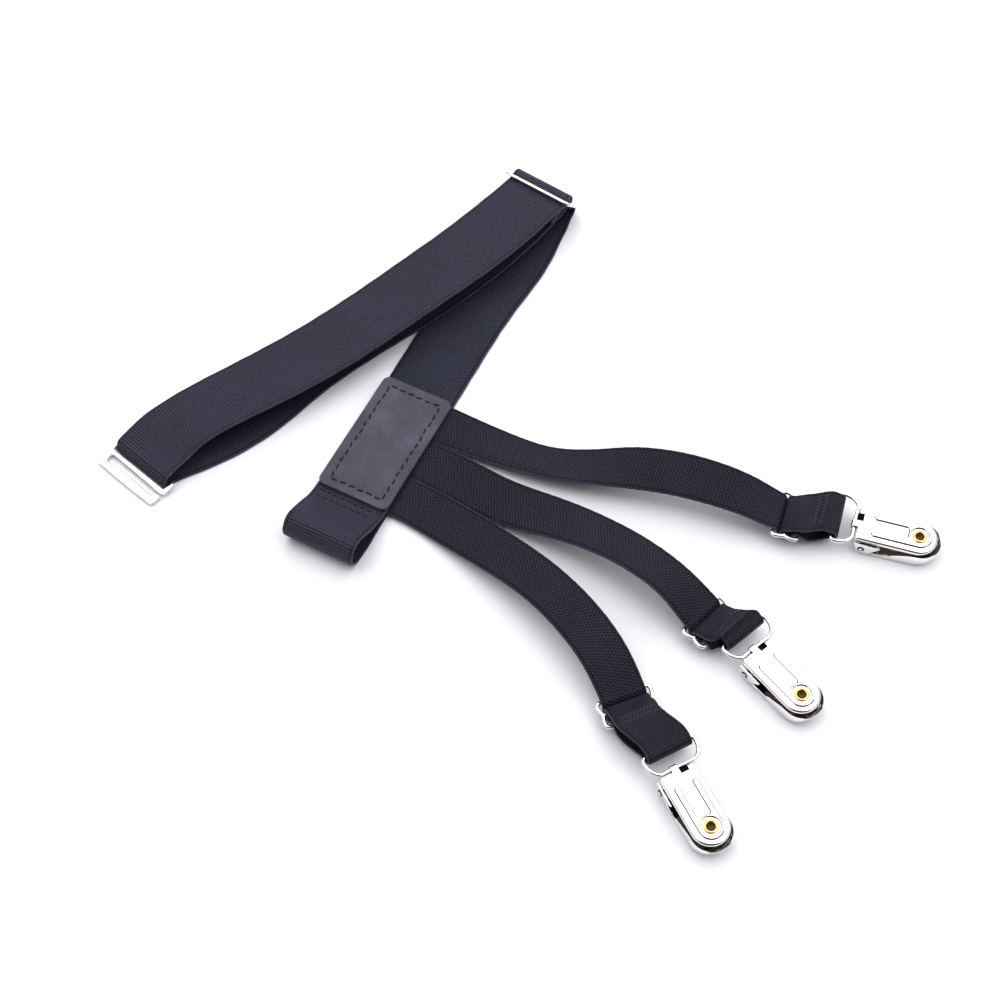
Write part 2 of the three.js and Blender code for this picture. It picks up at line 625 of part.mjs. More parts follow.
function plateGeometry() {
  const half = CLIP_WIDTH / 2;
  const outline = clipOutline(CLIP_BACK, CLIP_LENGTH, half);
  const bore = EYELET_BORE + EYELET_WALL + GAP;
  outline.holes.push(new THREE.Path().absarc(EYELET_PLACE, 0, bore, 0, 2 * Math.PI, true));
  const top = solid(sheet(outline, plateLow, plateTop));
  // rim: the sheet's edge turned down all round, open at the back
  const rimLow = plateTop - RIM_DEPTH;
  const inside = clipOutline(CLIP_BACK - SHEET, CLIP_LENGTH - SHEET, half - SHEET);
  const rimOuter = solid(sheet(clipOutline(CLIP_BACK, CLIP_LENGTH, half), rimLow, plateLow + JOIN));
  const rim = rimOuter.subtract(solid(sheet(inside, rimLow - SHEET, plateTop)));
  // lugs that hold the pivot pin
  const lug = new THREE.Shape();
  lug.moveTo(CLIP_BACK + LUG_START, plateLow + JOIN);
  lug.lineTo(PIVOT_PLACE - LUG_RADIUS, -PIVOT_DROP);
  lug.absarc(PIVOT_PLACE, -PIVOT_DROP, LUG_RADIUS, Math.PI, 2 * Math.PI, false);
  lug.lineTo(PIVOT_PLACE + LUG_RADIUS * LUG_REACH, plateTop - RIM_DEPTH);
  lug.lineTo(PIVOT_PLACE + LUG_RADIUS * LUG_REACH, plateLow + JOIN);
  lug.holes.push(new THREE.Path().absarc(PIVOT_PLACE, -PIVOT_DROP, PIN_RADIUS + GAP, 0, 2 * Math.PI, true));
  const lugs = [half - SHEET, -half].map((y) => solid(sideSheet(lug, y, y + SHEET)));
  // tab rolled round the ring's bar, beside an open notch
  const roll = new THREE.Shape().absarc(0, 0, plateTop, 0, 2 * Math.PI, false);
  roll.holes.push(new THREE.Path().absarc(0, 0, plateLow, 0, 2 * Math.PI, true));
  const tab = solid(sideSheet(roll, TAB_OFFSET - TAB_WIDTH / 2, TAB_OFFSET + TAB_WIDTH / 2, 8));
  const bridgeEnd = CLIP_BACK + 4 * JOIN;
  const bridgeHeight = plateTop - SHEET / 2;
  const bridge = solid(block(bridgeEnd, TAB_WIDTH, SHEET, bridgeEnd / 2, TAB_OFFSET, bridgeHeight));
  const notchSide = TAB_OFFSET + TAB_WIDTH / 2 + NOTCH_WIDTH / 2;
  const notch = solid(block(NOTCH_DEPTH * 2, NOTCH_WIDTH, 4 * SHEET, CLIP_BACK, notchSide, plateTop));
  // raised rib in a U, round the eyelet at its closed end
  const ribOuter = EYELET_RADIUS + RIB_WIDTH + RIB_EDGE;
  const rib = new THREE.Shape();
  rib.moveTo(RIB_START, -ribOuter);
  rib.absarc(EYELET_PLACE, 0, ribOuter, -Math.PI / 2, Math.PI / 2, false);
  rib.lineTo(RIB_START, ribOuter);
  rib.lineTo(RIB_START, ribOuter - RIB_WIDTH);
  const inner = ribOuter - RIB_WIDTH;
  const floorEnd = EYELET_PLACE - EYELET_RADIUS - TONGUE_GAP;
  rib.lineTo(floorEnd, inner);
  rib.lineTo(floorEnd, -inner);
  rib.lineTo(RIB_START, -inner);
  const recess = EYELET_RADIUS + EYELET_RECESS;
  rib.holes.push(new THREE.Path().absarc(EYELET_PLACE, 0, recess, 0, 2 * Math.PI, true));
  const ribs = solid(sheet(rib, plateTop - JOIN, plateTop + RIB_HEIGHT));
  return asGeometry([rim, ...lugs, tab, bridge, ribs].reduce((a, b) => a.add(b), top.subtract(notch)));
}

// Eyelet: a turned tube through plate and pad. Its rolled upper flange stands on the plate,
// its lower one lies sunk in the pad's bore, so that the pad's face stays plain.
const padHigh = plateLow - GAP;
const padLow = padHigh - PAD_THICK;
const eyeletOuter = EYELET_BORE + EYELET_WALL;
function eyeletGeometry() {
  const high = plateTop + GAP;
  const foot = padLow + FLOOR_GAP;
  const middle = high + EYELET_FLANGE / 2;
  const roll = (EYELET_RADIUS - EYELET_BORE) / 3;
  const profile = [
    [EYELET_BORE, foot], [eyeletOuter + EYELET_FOOT, foot], [eyeletOuter + EYELET_FOOT, foot + EYELET_FLANGE],
    [eyeletOuter, foot + EYELET_FLANGE], [eyeletOuter, high], [EYELET_RADIUS - roll / 2, high],
    [EYELET_RADIUS, middle], [EYELET_RADIUS - roll, high + EYELET_FLANGE],
    [EYELET_BORE + roll, high + EYELET_FLANGE], [EYELET_BORE, middle], [EYELET_BORE, foot],
  ];
  const turned = new THREE.LatheGeometry(profile.map(([x, y]) => new THREE.Vector2(x, y)), 12);
  return turned.rotateX(Math.PI / 2).translate(EYELET_PLACE, 0, 0);
}

function padGeometry() {
  const half = CLIP_WIDTH / 2 - SHEET - GAP;
  const outline = clipOutline(CLIP_LENGTH - SHEET - GAP - PAD_LENGTH, CLIP_LENGTH - SHEET - GAP, half, 8);
  const bore = eyeletOuter + EYELET_FOOT + GAP;
  outline.holes.push(new THREE.Path().absarc(EYELET_PLACE, 0, bore, 0, 2 * Math.PI, true));
  return sheet(outline, padLow, padHigh);
}

// Jaw: a dished sheet under the plate with two ears that carry the pin
const earInner = CLIP_WIDTH / 2 + GAP;
const earOuter = earInner + SHEET;
const jawBack = -PIVOT_DROP - LUG_RADIUS - GAP - SHEET;
const jawBelly = FLOOR_GAP - JAW_DEPTH;
const jawLine = JAW_ROWS.map(({ at, down, up }) => ({
  at,
  z: jawBack + (jawBelly - jawBack) * down + (-JAW_TIP_DROP - jawBelly) * up,
}));
const jawFloor = (share) => between(jawLine, "z", share);

function jawGeometry() {
  const start = PIVOT_PLACE + LUG_RADIUS * JAW_START;
  const run = JAW_LENGTH - start;
  const tipStart = JAW_LENGTH - earOuter;
  const rows = JAW_STEPS;
  const points = [];
  for (const layer of [1, 0]) {
    for (let i = 0; i <= rows; i += 1) {
      const share = i / rows;
      const x = start + run * share;
      const round = Math.sqrt(Math.max(earOuter ** 2 - Math.max(x - tipStart, 0) ** 2, 0));
      const half = round * JAW_ROUND + earOuter * (1 - JAW_ROUND);
      for (const { at, up } of JAW_ACROSS) points.push(x, at * half, jawFloor(share) + up + layer * SHEET);
    }
  }
  const n = JAW_ACROSS.length;
  const total = (rows + 1) * n;
  const index = [];
  for (let i = 0; i < rows; i += 1) {
    for (let k = 0; k < n - 1; k += 1) {
      const a = i * n + k;
      index.push(a, a + n, a + 1, a + 1, a + n, a + n + 1);
      index.push(total + a, total + a + 1, total + a + n, total + a + 1, total + a + n + 1, total + a + n);
    }
    for (const k of [0, n - 1]) {
      const a = i * n + k;
      const quad = [a, total + a, a + n, a + n, total + a, total + a + n];
      index.push(...(k === 0 ? quad : quad.reverse()));
    }
  }
  for (let k = 0; k < n - 1; k += 1) {
    for (const row of [0, rows]) {
      const a = row * n + k;
      const quad = [a, a + 1, total + a, a + 1, total + a + 1, total + a];
      index.push(...(row === 0 ? quad : quad.reverse()));
    }
  }
  const geometry = new THREE.BufferGeometry();
  geometry.setAttribute("position", new THREE.Float32BufferAttribute(points, 3));
  geometry.setIndex(index);
  const dish = solid(geometry);
  const ear = new THREE.Shape();
  ear.moveTo(WIRE_RADIUS + 2 * GAP, -WIRE_RADIUS - GAP);
  for (const { x, z } of EAR_ROWS) ear.lineTo(PIVOT_PLACE + x, -PIVOT_DROP + z);
  const pinBore = PIN_RADIUS - PIN_BITE;
  ear.holes.push(new THREE.Path().absarc(PIVOT_PLACE, -PIVOT_DROP, pinBore, 0, 2 * Math.PI, true));
  const ears = [earInner, -earOuter].map((y) => solid(sideSheet(ear, y, y + SHEET)));
  return asGeometry(dish.add(ears[0]).add(ears[1]));
}

// One strap: tucked end, free run, slider, loop round the ring's bar and wrap round the middle bar
const flatSliderHeight = over + WEB_THICK / 2 + FLOOR_GAP; // bar axes of a slider that lies on the surface
const strapStart = webFloor + layerStep;
const foldRadius = snug + 2 * GAP;

function strapAssembly(number) {
  const k = number - 1;
  const { loopTurn, ringTurn, clipSlide } = STRAP_ENDS[k];
  const pitch = STRAP_WIDTH + GAP;
  const seam = patchDirection.clone().multiplyScalar((1 - k) * pitch);
  const exit = PATCH_HEADING - 90;
  const edge = seam.clone().addScaledVector(ahead(exit), PATCH_WIDTH / 2);
  const endBank = STRAP_ROWS[k][STRAP_ROWS[k].length - 1].bank;
  const sliderHeight = bankedHeight(flatSliderHeight, STRAP_WIDTH + 2 * WIRE_RADIUS, endBank);
  const rows = STRAP_ROWS[k].map((row, i) => {
    if (i === 0) return { ...row, heading: exit, lift: strapStart / STRAP_RISE };
    return i === STRAP_ROWS[k].length - 1 ? { ...row, lift: (sliderHeight + snug) / STRAP_RISE } : row;
  });
  const run = lay(rows, {
    from: edge, run: STRAP_RUNS[k], rise: STRAP_RISE, width: STRAP_WIDTH, steps: 28,
  });
  const tuck = seam.clone().addScaledVector(ahead(exit), PATCH_WIDTH / 2 - SEAM_TUCK).setZ(strapStart);
  const last = run[run.length - 1];
  const heading = last.heading;
  const ringHeading = heading + ringTurn;
  const origin = last.place.clone().setZ(0);
  const bars = [0, 1, 2].map((i) => new THREE.Vector2(i * BAR_PITCH, sliderHeight));
  const ringBar = new THREE.Vector2(LOOP_LENGTHS[k], JAW_DEPTH + GAP);
  const loopStart = bars[2].x;
  const span = ringBar.x - loopStart;
  const top = ringBar.y + foldRadius;
  const under = arc(bars[2], snug, 180 - crossAngle, 60, 12);
  const lower = LOOP_UNDER.map((row) => new THREE.Vector2(loopStart + span * row.at, top * row.up));
  const fold = arc(ringBar, foldRadius, -90, 90, 15);
  const upper = LOOP_OVER.map((row) => new THREE.Vector2(loopStart + span * row.at, top * row.up));
  const crossing = new THREE.Vector2(loopStart, sliderHeight + over + GAP);
  const wrapStart = 90 + THREE.MathUtils.radToDeg(Math.asin((over - snug) / BAR_PITCH));
  const points = [
    ...arc(bars[0], snug, 90, crossAngle),
    ...arc(bars[1], over, 180 + crossAngle, 360 - crossAngle),
    ...under.slice(0, -1),
    ...smooth([under[under.length - 1], ...lower, fold[0]], 10).slice(0, -1),
    ...fold.slice(0, -1),
    ...smooth([fold[fold.length - 1], ...upper, crossing], 12),
    ...arc(bars[1], snug, wrapStart, 338),
  ];
  const loopPlan = origin.clone().addScaledVector(ahead(heading), loopStart);
  const barPlan = loopPlan.addScaledVector(ahead(heading + loopTurn), span);
  const end = points.map((p) => {
    const share = THREE.MathUtils.smoothstep(p.x, loopStart + snug, ringBar.x - LOOP_SHIFT_END);
    const bySlider = origin.clone().addScaledVector(ahead(heading), p.x);
    const byRing = barPlan.clone().addScaledVector(ahead(ringHeading), p.x - ringBar.x);
    return {
      place: bySlider.lerp(byRing, share).setZ(p.y),
      heading: heading + ringTurn * share,
      bank: last.bank * (1 - share),
    };
  });
  const tucked = { place: tuck, heading: exit, bank: 0 };
  const stations = [tucked, ...run.slice(0, -1), ...end];
  add(group, `strap_${number}`, strip(stations, STRAP_WIDTH, WEB_THICK), webbing());

  const slider = add(group, `strap_slider_${number}`, sliderGeometry(STRAP_WIDTH), nickel());
  slider.position.copy(origin).setZ(sliderHeight);
  slider.rotation.set(rad(-last.bank), 0, rad(heading), "ZYX");

  const clip = new THREE.Group();
  clip.position.copy(barPlan).addScaledVector(ahead(ringHeading), RING_REACH).setZ(JAW_DEPTH);
  clip.rotation.z = rad(ringHeading);
  group.add(clip);
  const ring = add(clip, `ring_${number}`, ringGeometry(), nickel());
  ring.rotation.y = Math.asin(GAP / RING_REACH);
  const body = new THREE.Group();
  body.position.y = clipSlide;
  clip.add(body);
  add(body, `clip_plate_${number}`, plateGeometry(), nickel());
  add(body, `eyelet_${number}`, eyeletGeometry(), brass());
  add(body, `grip_pad_${number}`, padGeometry(), padPlastic());
  add(body, `clip_jaw_${number}`, jawGeometry(), nickel());
  const pin = crossBar(PIN_RADIUS, 2 * earInner - GAP, PIVOT_PLACE, -PIVOT_DROP);
  add(body, `pivot_pin_${number}`, pin, nickel());
}
STRAP_RUNS.forEach((_, k) => strapAssembly(k + 1));

// Stand the whole on z = 0 with its box centred over the origin
group.updateMatrixWorld(true);
const box = new THREE.Box3().setFromObject(group, true);
const middle = box.getCenter(new THREE.Vector3());
group.position.set(-middle.x, -middle.y, -box.min.z);
group.updateMatrixWorld(true);

export default group;
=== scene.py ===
"""A shirt stay lying open on a pale floor: elastic thigh band, leather patch and three clip straps.

Lengths are in millimetres with the patch's centre as origin, +X right, +Y away, +Z up.
Meshes are moved to the frame's place and turned to metres as they are made.
"""

import json
import logging
import math
from collections.abc import Callable
from dataclasses import dataclass, field
from enum import Enum

import bmesh
import bpy
import numpy as np
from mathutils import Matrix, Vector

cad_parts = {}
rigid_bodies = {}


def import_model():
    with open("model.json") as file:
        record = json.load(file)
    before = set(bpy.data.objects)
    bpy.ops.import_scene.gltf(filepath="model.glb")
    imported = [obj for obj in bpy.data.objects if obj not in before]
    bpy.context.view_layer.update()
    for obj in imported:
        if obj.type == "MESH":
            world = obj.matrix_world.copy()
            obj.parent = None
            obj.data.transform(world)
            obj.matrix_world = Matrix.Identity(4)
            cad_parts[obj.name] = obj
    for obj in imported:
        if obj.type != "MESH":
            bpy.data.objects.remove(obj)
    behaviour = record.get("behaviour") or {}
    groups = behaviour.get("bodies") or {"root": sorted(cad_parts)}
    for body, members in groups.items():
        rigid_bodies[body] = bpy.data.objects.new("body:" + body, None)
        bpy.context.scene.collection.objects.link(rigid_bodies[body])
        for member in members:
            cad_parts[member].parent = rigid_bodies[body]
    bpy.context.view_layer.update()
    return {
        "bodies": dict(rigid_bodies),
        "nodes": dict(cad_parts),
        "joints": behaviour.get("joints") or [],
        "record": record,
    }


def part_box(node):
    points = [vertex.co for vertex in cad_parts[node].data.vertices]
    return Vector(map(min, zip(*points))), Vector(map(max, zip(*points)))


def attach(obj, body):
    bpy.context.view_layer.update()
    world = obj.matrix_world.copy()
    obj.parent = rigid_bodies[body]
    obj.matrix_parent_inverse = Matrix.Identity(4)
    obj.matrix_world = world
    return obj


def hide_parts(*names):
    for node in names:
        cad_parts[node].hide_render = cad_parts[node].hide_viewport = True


LOG = logging.getLogger("shirt_stay")
MM = 0.001  # metres in a millimetre
STAY = "stay"  # the body that everything but clips and jaws rides on
UP = np.array([0.0, 0.0, 1.0])

# Clearances that the webbing keeps, as in the solids
GAP = 0.3
LAYER_GAP = 0.2
FLOOR_GAP = 0.05
WEB_THICK = 1.3
BAND_WIDTH = 30.0
STRAP_WIDTH = 19.8
WIRE_RADIUS = 0.85
BAR_PITCH = 5.5
SNUG = WIRE_RADIUS + GAP + WEB_THICK / 2  # webbing's middle round a bare bar
OVER = SNUG + WEB_THICK + LAYER_GAP  # webbing's middle round a wrapped bar
WEB_FLOOR = FLOOR_GAP + WEB_THICK / 2  # middle of webbing that lies on the floor
LAYER_STEP = WEB_THICK + GAP
CROSSING = math.degrees(math.acos((SNUG + OVER) / BAR_PITCH))
CREASE = 16.0  # degrees between faces from which pressed sheet keeps a crease

PATCH_HEADING = 63.2
PATCH_LENGTH = 62.0
PATCH_WIDTH = 33.6
SEAM_TUCK = 11.0
TACK_STEP = 1.5  # between a bartack's stitches, across the webbing
TACK_ROW = 3.0  # between its rows, along the webbing


# Plain geometry

def ahead(heading: float | np.ndarray) -> np.ndarray:
    """Unit vectors along headings in degrees, as rows."""
    turn = np.radians(heading)
    return np.stack([np.cos(turn), np.sin(turn), np.zeros_like(turn)], axis=-1)


def right_of(heading: float | np.ndarray) -> np.ndarray:
    """Unit vectors to the right of headings in degrees."""
    return ahead(np.asarray(heading) - 90.0)


def unit(vectors: np.ndarray) -> np.ndarray:
    """Rows scaled to length one."""
    return vectors / np.maximum(np.linalg.norm(vectors, axis=-1, keepdims=True), 1e-9)


def ease(value: np.ndarray, low: float, high: float) -> np.ndarray:
    """Smooth step from 0 at low to 1 at high."""
    share = np.clip((value - low) / (high - low), 0.0, 1.0)
    return share * share * (3.0 - 2.0 * share)


def arc(centre: tuple[float, float], radius: float, start: float, stop: float) -> np.ndarray:
    """Points of an arc in a side view, angles in degrees from forward, about 9 degrees apart."""
    count = max(3, int(abs(stop - start) / 9.0) + 1)
    turn = np.radians(np.linspace(start, stop, count))
    return np.stack([centre[0] + radius * np.cos(turn), centre[1] + radius * np.sin(turn)], axis=-1)


def through(knots: np.ndarray, values: np.ndarray, at: np.ndarray) -> np.ndarray:
    """Smooth values at `at` through rows of values at knots: a cubic with parabolic slopes."""
    step = np.diff(knots)
    slope = np.diff(values, axis=0) / step.reshape((-1,) + (1,) * (values.ndim - 1))
    before = step[:-1].reshape((-1,) + (1,) * (values.ndim - 1))
    after = step[1:].reshape(before.shape)
    inner = (after * slope[:-1] + before * slope[1:]) / (before + after)
    slopes = np.concatenate([slope[:1], inner, slope[-1:]])
    i = np.clip(np.searchsorted(knots, at, side="right") - 1, 0, len(knots) - 2)
    span = step[i]
    t = ((at - knots[i]) / span).reshape((-1,) + (1,) * (values.ndim - 1))
    span = span.reshape(t.shape)
    low = (2 * t**3 - 3 * t**2 + 1) * values[i] + (t**3 - 2 * t**2 + t) * span * slopes[i]
    return low + (3 * t**2 - 2 * t**3) * values[i + 1] + (t**3 - t**2) * span * slopes[i + 1]


def smooth_line(points: np.ndarray, count: int) -> np.ndarray:
    """A smooth line through a few points, evenly spaced in the square root of their distances."""
    knots = np.concatenate([[0.0], np.cumsum(np.sqrt(np.linalg.norm(np.diff(points, axis=0), axis=1)))])
    return through(knots, points, np.linspace(0.0, knots[-1], count))


# Webbing

@dataclass(frozen=True)
class Row:
    """A row of a run: share of its length, heading and bank in degrees, middle height in mm."""

    at: float
    heading: float
    lift: float
    bank: float = 0.0


def column(rows: list[Row], name: str, at: np.ndarray) -> np.ndarray:
    """One column of the rows, smooth between them."""
    knots = np.array([row.at for row in rows])
    return through(knots, np.array([getattr(row, name) for row in rows]), at)


@dataclass
class Path:
    """Webbing's middle line: places and unit vectors to its right-hand edge, one row a station."""

    place: np.ndarray
    side: np.ndarray

    def __add__(self, other: "Path") -> "Path":
        """This path and then the other."""
        return Path(np.concatenate([self.place, other.place]), np.concatenate([self.side, other.side]))

    def reach(self) -> np.ndarray:
        """Distance along the path at each station."""
        return np.concatenate([[0.0], np.cumsum(np.linalg.norm(np.diff(self.place, axis=0), axis=1))])

    def evened(self, fine: float, coarse: float, soften: float) -> "Path":
        """The path with closer stations where it bends.

        Args:
            fine: Closest spacing, on tight bends.
            coarse: Widest spacing, on straight runs.
            soften: Length over which corners are eased by a running mean.

        Returns:
            A path that keeps this one's ends.
        """
        kept = np.concatenate([[True], np.linalg.norm(np.diff(self.place, axis=0), axis=1) > 0.12])
        line = Path(self.place[kept], self.side[kept])
        reach = line.reach()
        dense = np.linspace(0.0, reach[-1], int(reach[-1] / fine * 2.0))
        place, side = through(reach, line.place, dense), through(reach, line.side, dense)
        width = max(1, int(soften / (dense[1] - dense[0])))
        kernel = np.hanning(2 * width + 1)
        kernel /= kernel.sum()
        mirror = [2 * place[0] - place[width:0:-1], place, 2 * place[-1] - place[-2:-width - 2:-1]]
        padded = np.concatenate(mirror)
        place = np.stack([np.convolve(padded[:, k], kernel, "valid") for k in range(3)], axis=1)
        side = unit(side)
        tangent = unit(np.gradient(place, axis=0))
        bend = np.linalg.norm(np.gradient(tangent, axis=0), axis=1) / (dense[1] - dense[0])
        spacing = np.clip(0.16 / np.maximum(bend, 1e-4), fine, coarse)
        spacing = np.minimum.reduce([np.roll(spacing, k) for k in (-3, 0, 3)])
        count = np.concatenate([[0.0], np.cumsum(np.diff(dense) / spacing[1:])])
        at = np.interp(np.linspace(0.0, count[-1], int(count[-1]) + 2), count, dense)
        return Path(through(dense, place, at), unit(through(dense, side, at)))

    def faces(self) -> np.ndarray:
        """Unit vectors out of the webbing's upper face."""
        tangent = unit(np.gradient(self.place, axis=0))
        return unit(np.cross(self.side, tangent))


def side_vectors(heading: np.ndarray, bank: np.ndarray) -> np.ndarray:
    """Vectors to the right-hand edge, raised by the bank."""
    lean = np.radians(bank)[..., None]
    return right_of(heading) * np.cos(lean) + UP * np.sin(lean)


def lay(rows: list[Row], start: np.ndarray, run: float, width: float,
        end: np.ndarray | None = None, steps: int = 90) -> Path:
    """Lays webbing out from a start, true to length along its slope and clear of the floor.

    Args:
        rows: Headings, heights and banks along the run.
        start: Place of the first station.
        run: Length of the run.
        width: Webbing's width, which sets how high a banked edge has to stay.
        end: Where the plan is leaned to, evenly along the run.
        steps: Number of steps.

    Returns:
        The run's path.
    """
    at = np.linspace(0.0, 1.0, steps + 1)
    heading, bank = column(rows, "heading", at), column(rows, "bank", at)
    low = WEB_FLOOR + width / 2 * np.abs(np.sin(np.radians(bank)))
    lift = np.maximum(column(rows, "lift", at), low)
    flat = np.sqrt(np.maximum((run / steps) ** 2 - np.diff(lift) ** 2, 0.0))
    place = np.zeros((steps + 1, 3))
    place[1:] = np.cumsum(ahead(heading[1:]) * flat[:, None], axis=0)
    place += start
    place[:, 2] = lift
    if end is not None:
        place[:, :2] += at[:, None] * (end - place[-1])[:2]
    return Path(place, side_vectors(heading, bank))


def upright(points: np.ndarray, origin: np.ndarray, heading: float, side_heading: float | None = None,
            bank: float = 0.0) -> Path:
    """A path in an upright plane: points are distance along the heading and height."""
    place = origin * np.array([1.0, 1.0, 0.0]) + ahead(heading) * points[:, :1]
    place[:, 2] = points[:, 1]
    facing = np.full(len(points), heading if side_heading is None else side_heading)
    return Path(place, side_vectors(facing, np.full(len(points), bank)))


# Mesh making

@dataclass
class Workshop:
    """Where meshes are made: the frame's place of the patch, and what has been made so far."""

    shift: np.ndarray = field(default_factory=lambda: np.zeros(3))
    joints: dict[str, dict] = field(default_factory=dict)
    made: list[str] = field(default_factory=list)

    def settle(self, frame: dict) -> None:
        """Reads the frame's joints and the patch's place, which is this script's origin."""
        low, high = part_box("leather_patch")
        middle = (np.array(low) + np.array(high)) / 2 / MM
        self.shift = np.array([middle[0], middle[1], 0.0])
        self.joints = {joint["name"]: joint for joint in frame["joints"]}

    def piece(self, name: str, points: np.ndarray, faces: list, finish: bpy.types.Material,
              body: str, nodes: tuple[str, ...] = (), uv: np.ndarray | None = None,
              kinds: np.ndarray | None = None, more: tuple[bpy.types.Material, ...] = (),
              sharp: float = 180.0) -> bpy.types.Object:
        """Makes a mesh piece in the frame's place and gives it its body, materials and nodes.

        Args:
            name: Piece's name.
            points: Vertices in millimetres.
            faces: Vertex numbers of each face.
            finish: First material.
            body: Body that it rides on.
            nodes: CAD nodes that it stands for.
            uv: One pair a vertex, in millimetres on the webbing.
            kinds: Material number of each face.
            more: Further materials.
            sharp: Angle in degrees from which edges keep their crease.

        Returns:
            The piece.
        """
        mesh = bpy.data.meshes.new(name)
        mesh.from_pydata(((points + self.shift) * MM).tolist(), [], faces)
        for material in (finish, *more):
            mesh.materials.append(material)
        if kinds is not None:
            mesh.polygons.foreach_set("material_index", kinds.astype(np.int32))
        if uv is not None:
            loops = np.zeros(len(mesh.loops), dtype=np.int32)
            mesh.loops.foreach_get("vertex_index", loops)
            layer = mesh.uv_layers.new(name="weave")
            layer.data.foreach_set("uv", uv[loops].astype(np.float32).ravel())
        work = bmesh.new()
        work.from_mesh(mesh)
        bmesh.ops.remove_doubles(work, verts=work.verts, dist=2e-7)
        bmesh.ops.recalc_face_normals(work, faces=work.faces)
        work.to_mesh(mesh)
        work.free()
        mesh.polygons.foreach_set("use_smooth", np.full(len(mesh.polygons), True))
        if sharp < 180.0:
            mesh.set_sharp_from_angle(angle=math.radians(sharp))
        mesh.update()
        thing = bpy.data.objects.new(name, mesh)
        bpy.context.scene.collection.objects.link(thing)
        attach(thing, body)
        if nodes:
            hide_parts(*nodes)
        self.made.append(name)
        LOG.info("%s: %d faces on %s", name, len(mesh.polygons), body)
        return thing


SHOP = Workshop()


def grid_faces(rows: int, columns: int, round_rows: bool = False, round_columns: bool = True,
               caps: bool = False, start: int = 0) -> list:
    """Faces of a grid of points, rows by columns.

    Args:
        rows: Points along.
        columns: Points round or across.
        round_rows: Whether the last row joins the first.
        round_columns: Whether the last column joins the first.
        caps: Whether the first and last rows are closed by one face each.
        start: Number of the grid's first point.

    Returns:
        A list of vertex number tuples.
    """
    i, k = np.meshgrid(np.arange(rows - (not round_rows)), np.arange(columns - (not round_columns)),
                       indexing="ij")
    along, across = (i + 1) % rows, (k + 1) % columns
    quads = np.stack([i * columns + k, along * columns + k, along * columns + across, i * columns + across],
                     axis=-1)
    faces = (quads.reshape(-1, 4) + start).tolist()
    if caps:
        faces.append(list(range(start + columns - 1, start - 1, -1)))
        faces.append(list(range(start + (rows - 1) * columns, start + rows * columns)))
    return faces


def joined(parts: list[tuple[np.ndarray, list]]) -> tuple[np.ndarray, list]:
    """Several bodies of points and faces as one."""
    points, faces, count = [], [], 0
    for body, body_faces in parts:
        points.append(body)
        faces.extend([[v + count for v in face] for face in body_faces])
        count += len(body)
    return np.concatenate(points), faces


def swept(path: np.ndarray, normal: np.ndarray, section: np.ndarray, closed: bool) -> tuple[np.ndarray, list]:
    """Carries a closed section along a path: point = place + across * side + up * normal.

    Args:
        path: Places along the path.
        normal: One unit vector square to the path's plane, or one a place.
        section: Pairs of across and up.
        closed: Whether the path joins its own start.

    Returns:
        Points and faces.
    """
    if closed:
        tangent = unit(np.roll(path, -1, axis=0) - np.roll(path, 1, axis=0))
    else:
        tangent = unit(np.gradient(path, axis=0))
    normals = np.broadcast_to(normal, path.shape)
    side = unit(np.cross(tangent, normals))
    lift = unit(np.cross(side, tangent))
    points = path[:, None] + side[:, None] * section[None, :, :1] + lift[:, None] * section[None, :, 1:]
    return points.reshape(-1, 3), grid_faces(len(path), len(section), closed, True, not closed)


def round_section(radius: float, sides: int = 14) -> np.ndarray:
    """A circle's points."""
    turn = np.linspace(0.0, 2 * np.pi, sides, endpoint=False)
    return np.stack([np.cos(turn), np.sin(turn)], axis=-1) * radius


def bar_section(width: float, thick: float, corner: float, steps: int = 4) -> np.ndarray:
    """A rectangle's points with rounded corners: each corner is a quarter circle."""
    turn = np.linspace(0.0, np.pi / 2, steps)
    quarter = np.stack([np.cos(turn), np.sin(turn)], axis=-1) * corner
    inner = np.array([width / 2 - corner, thick / 2 - corner])
    corners = []
    for k, signs in enumerate(((1, 1), (-1, 1), (-1, -1), (1, -1))):
        spin = np.array([[math.cos(k * math.pi / 2), -math.sin(k * math.pi / 2)],
                         [math.sin(k * math.pi / 2), math.cos(k * math.pi / 2)]])
        corners.append(quarter @ spin.T + inner * np.array(signs))
    return np.concatenate(corners)


def ring_line(points: np.ndarray, step: float) -> np.ndarray:
    """A closed smooth line through a few points, evenly spaced in its parameter."""
    wrapped = np.concatenate([points[-3:], points, points[:3]])
    knots = np.concatenate([[0.0], np.cumsum(np.sqrt(np.linalg.norm(np.diff(wrapped, axis=0), axis=1)))])
    low, high = knots[3], knots[3 + len(points)]
    length = np.linalg.norm(np.diff(wrapped[3:-2], axis=0), axis=1).sum()
    at = np.linspace(low, high, int(length / step), endpoint=False)
    return through(knots, wrapped, at)


def turned(profile: np.ndarray, sides: int = 40) -> tuple[np.ndarray, list]:
    """Turns a closed profile of radius and height round +Z: x = r cos, y = r sin."""
    turn = np.linspace(0.0, 2 * np.pi, sides, endpoint=False)
    radius, height = profile[:, 0], profile[:, 1]
    points = np.stack([
        np.outer(np.cos(turn), radius), np.outer(np.sin(turn), radius),
        np.broadcast_to(height, (sides, len(height))),
    ], axis=-1)
    return points.reshape(-1, 3), grid_faces(sides, len(profile), True, True)


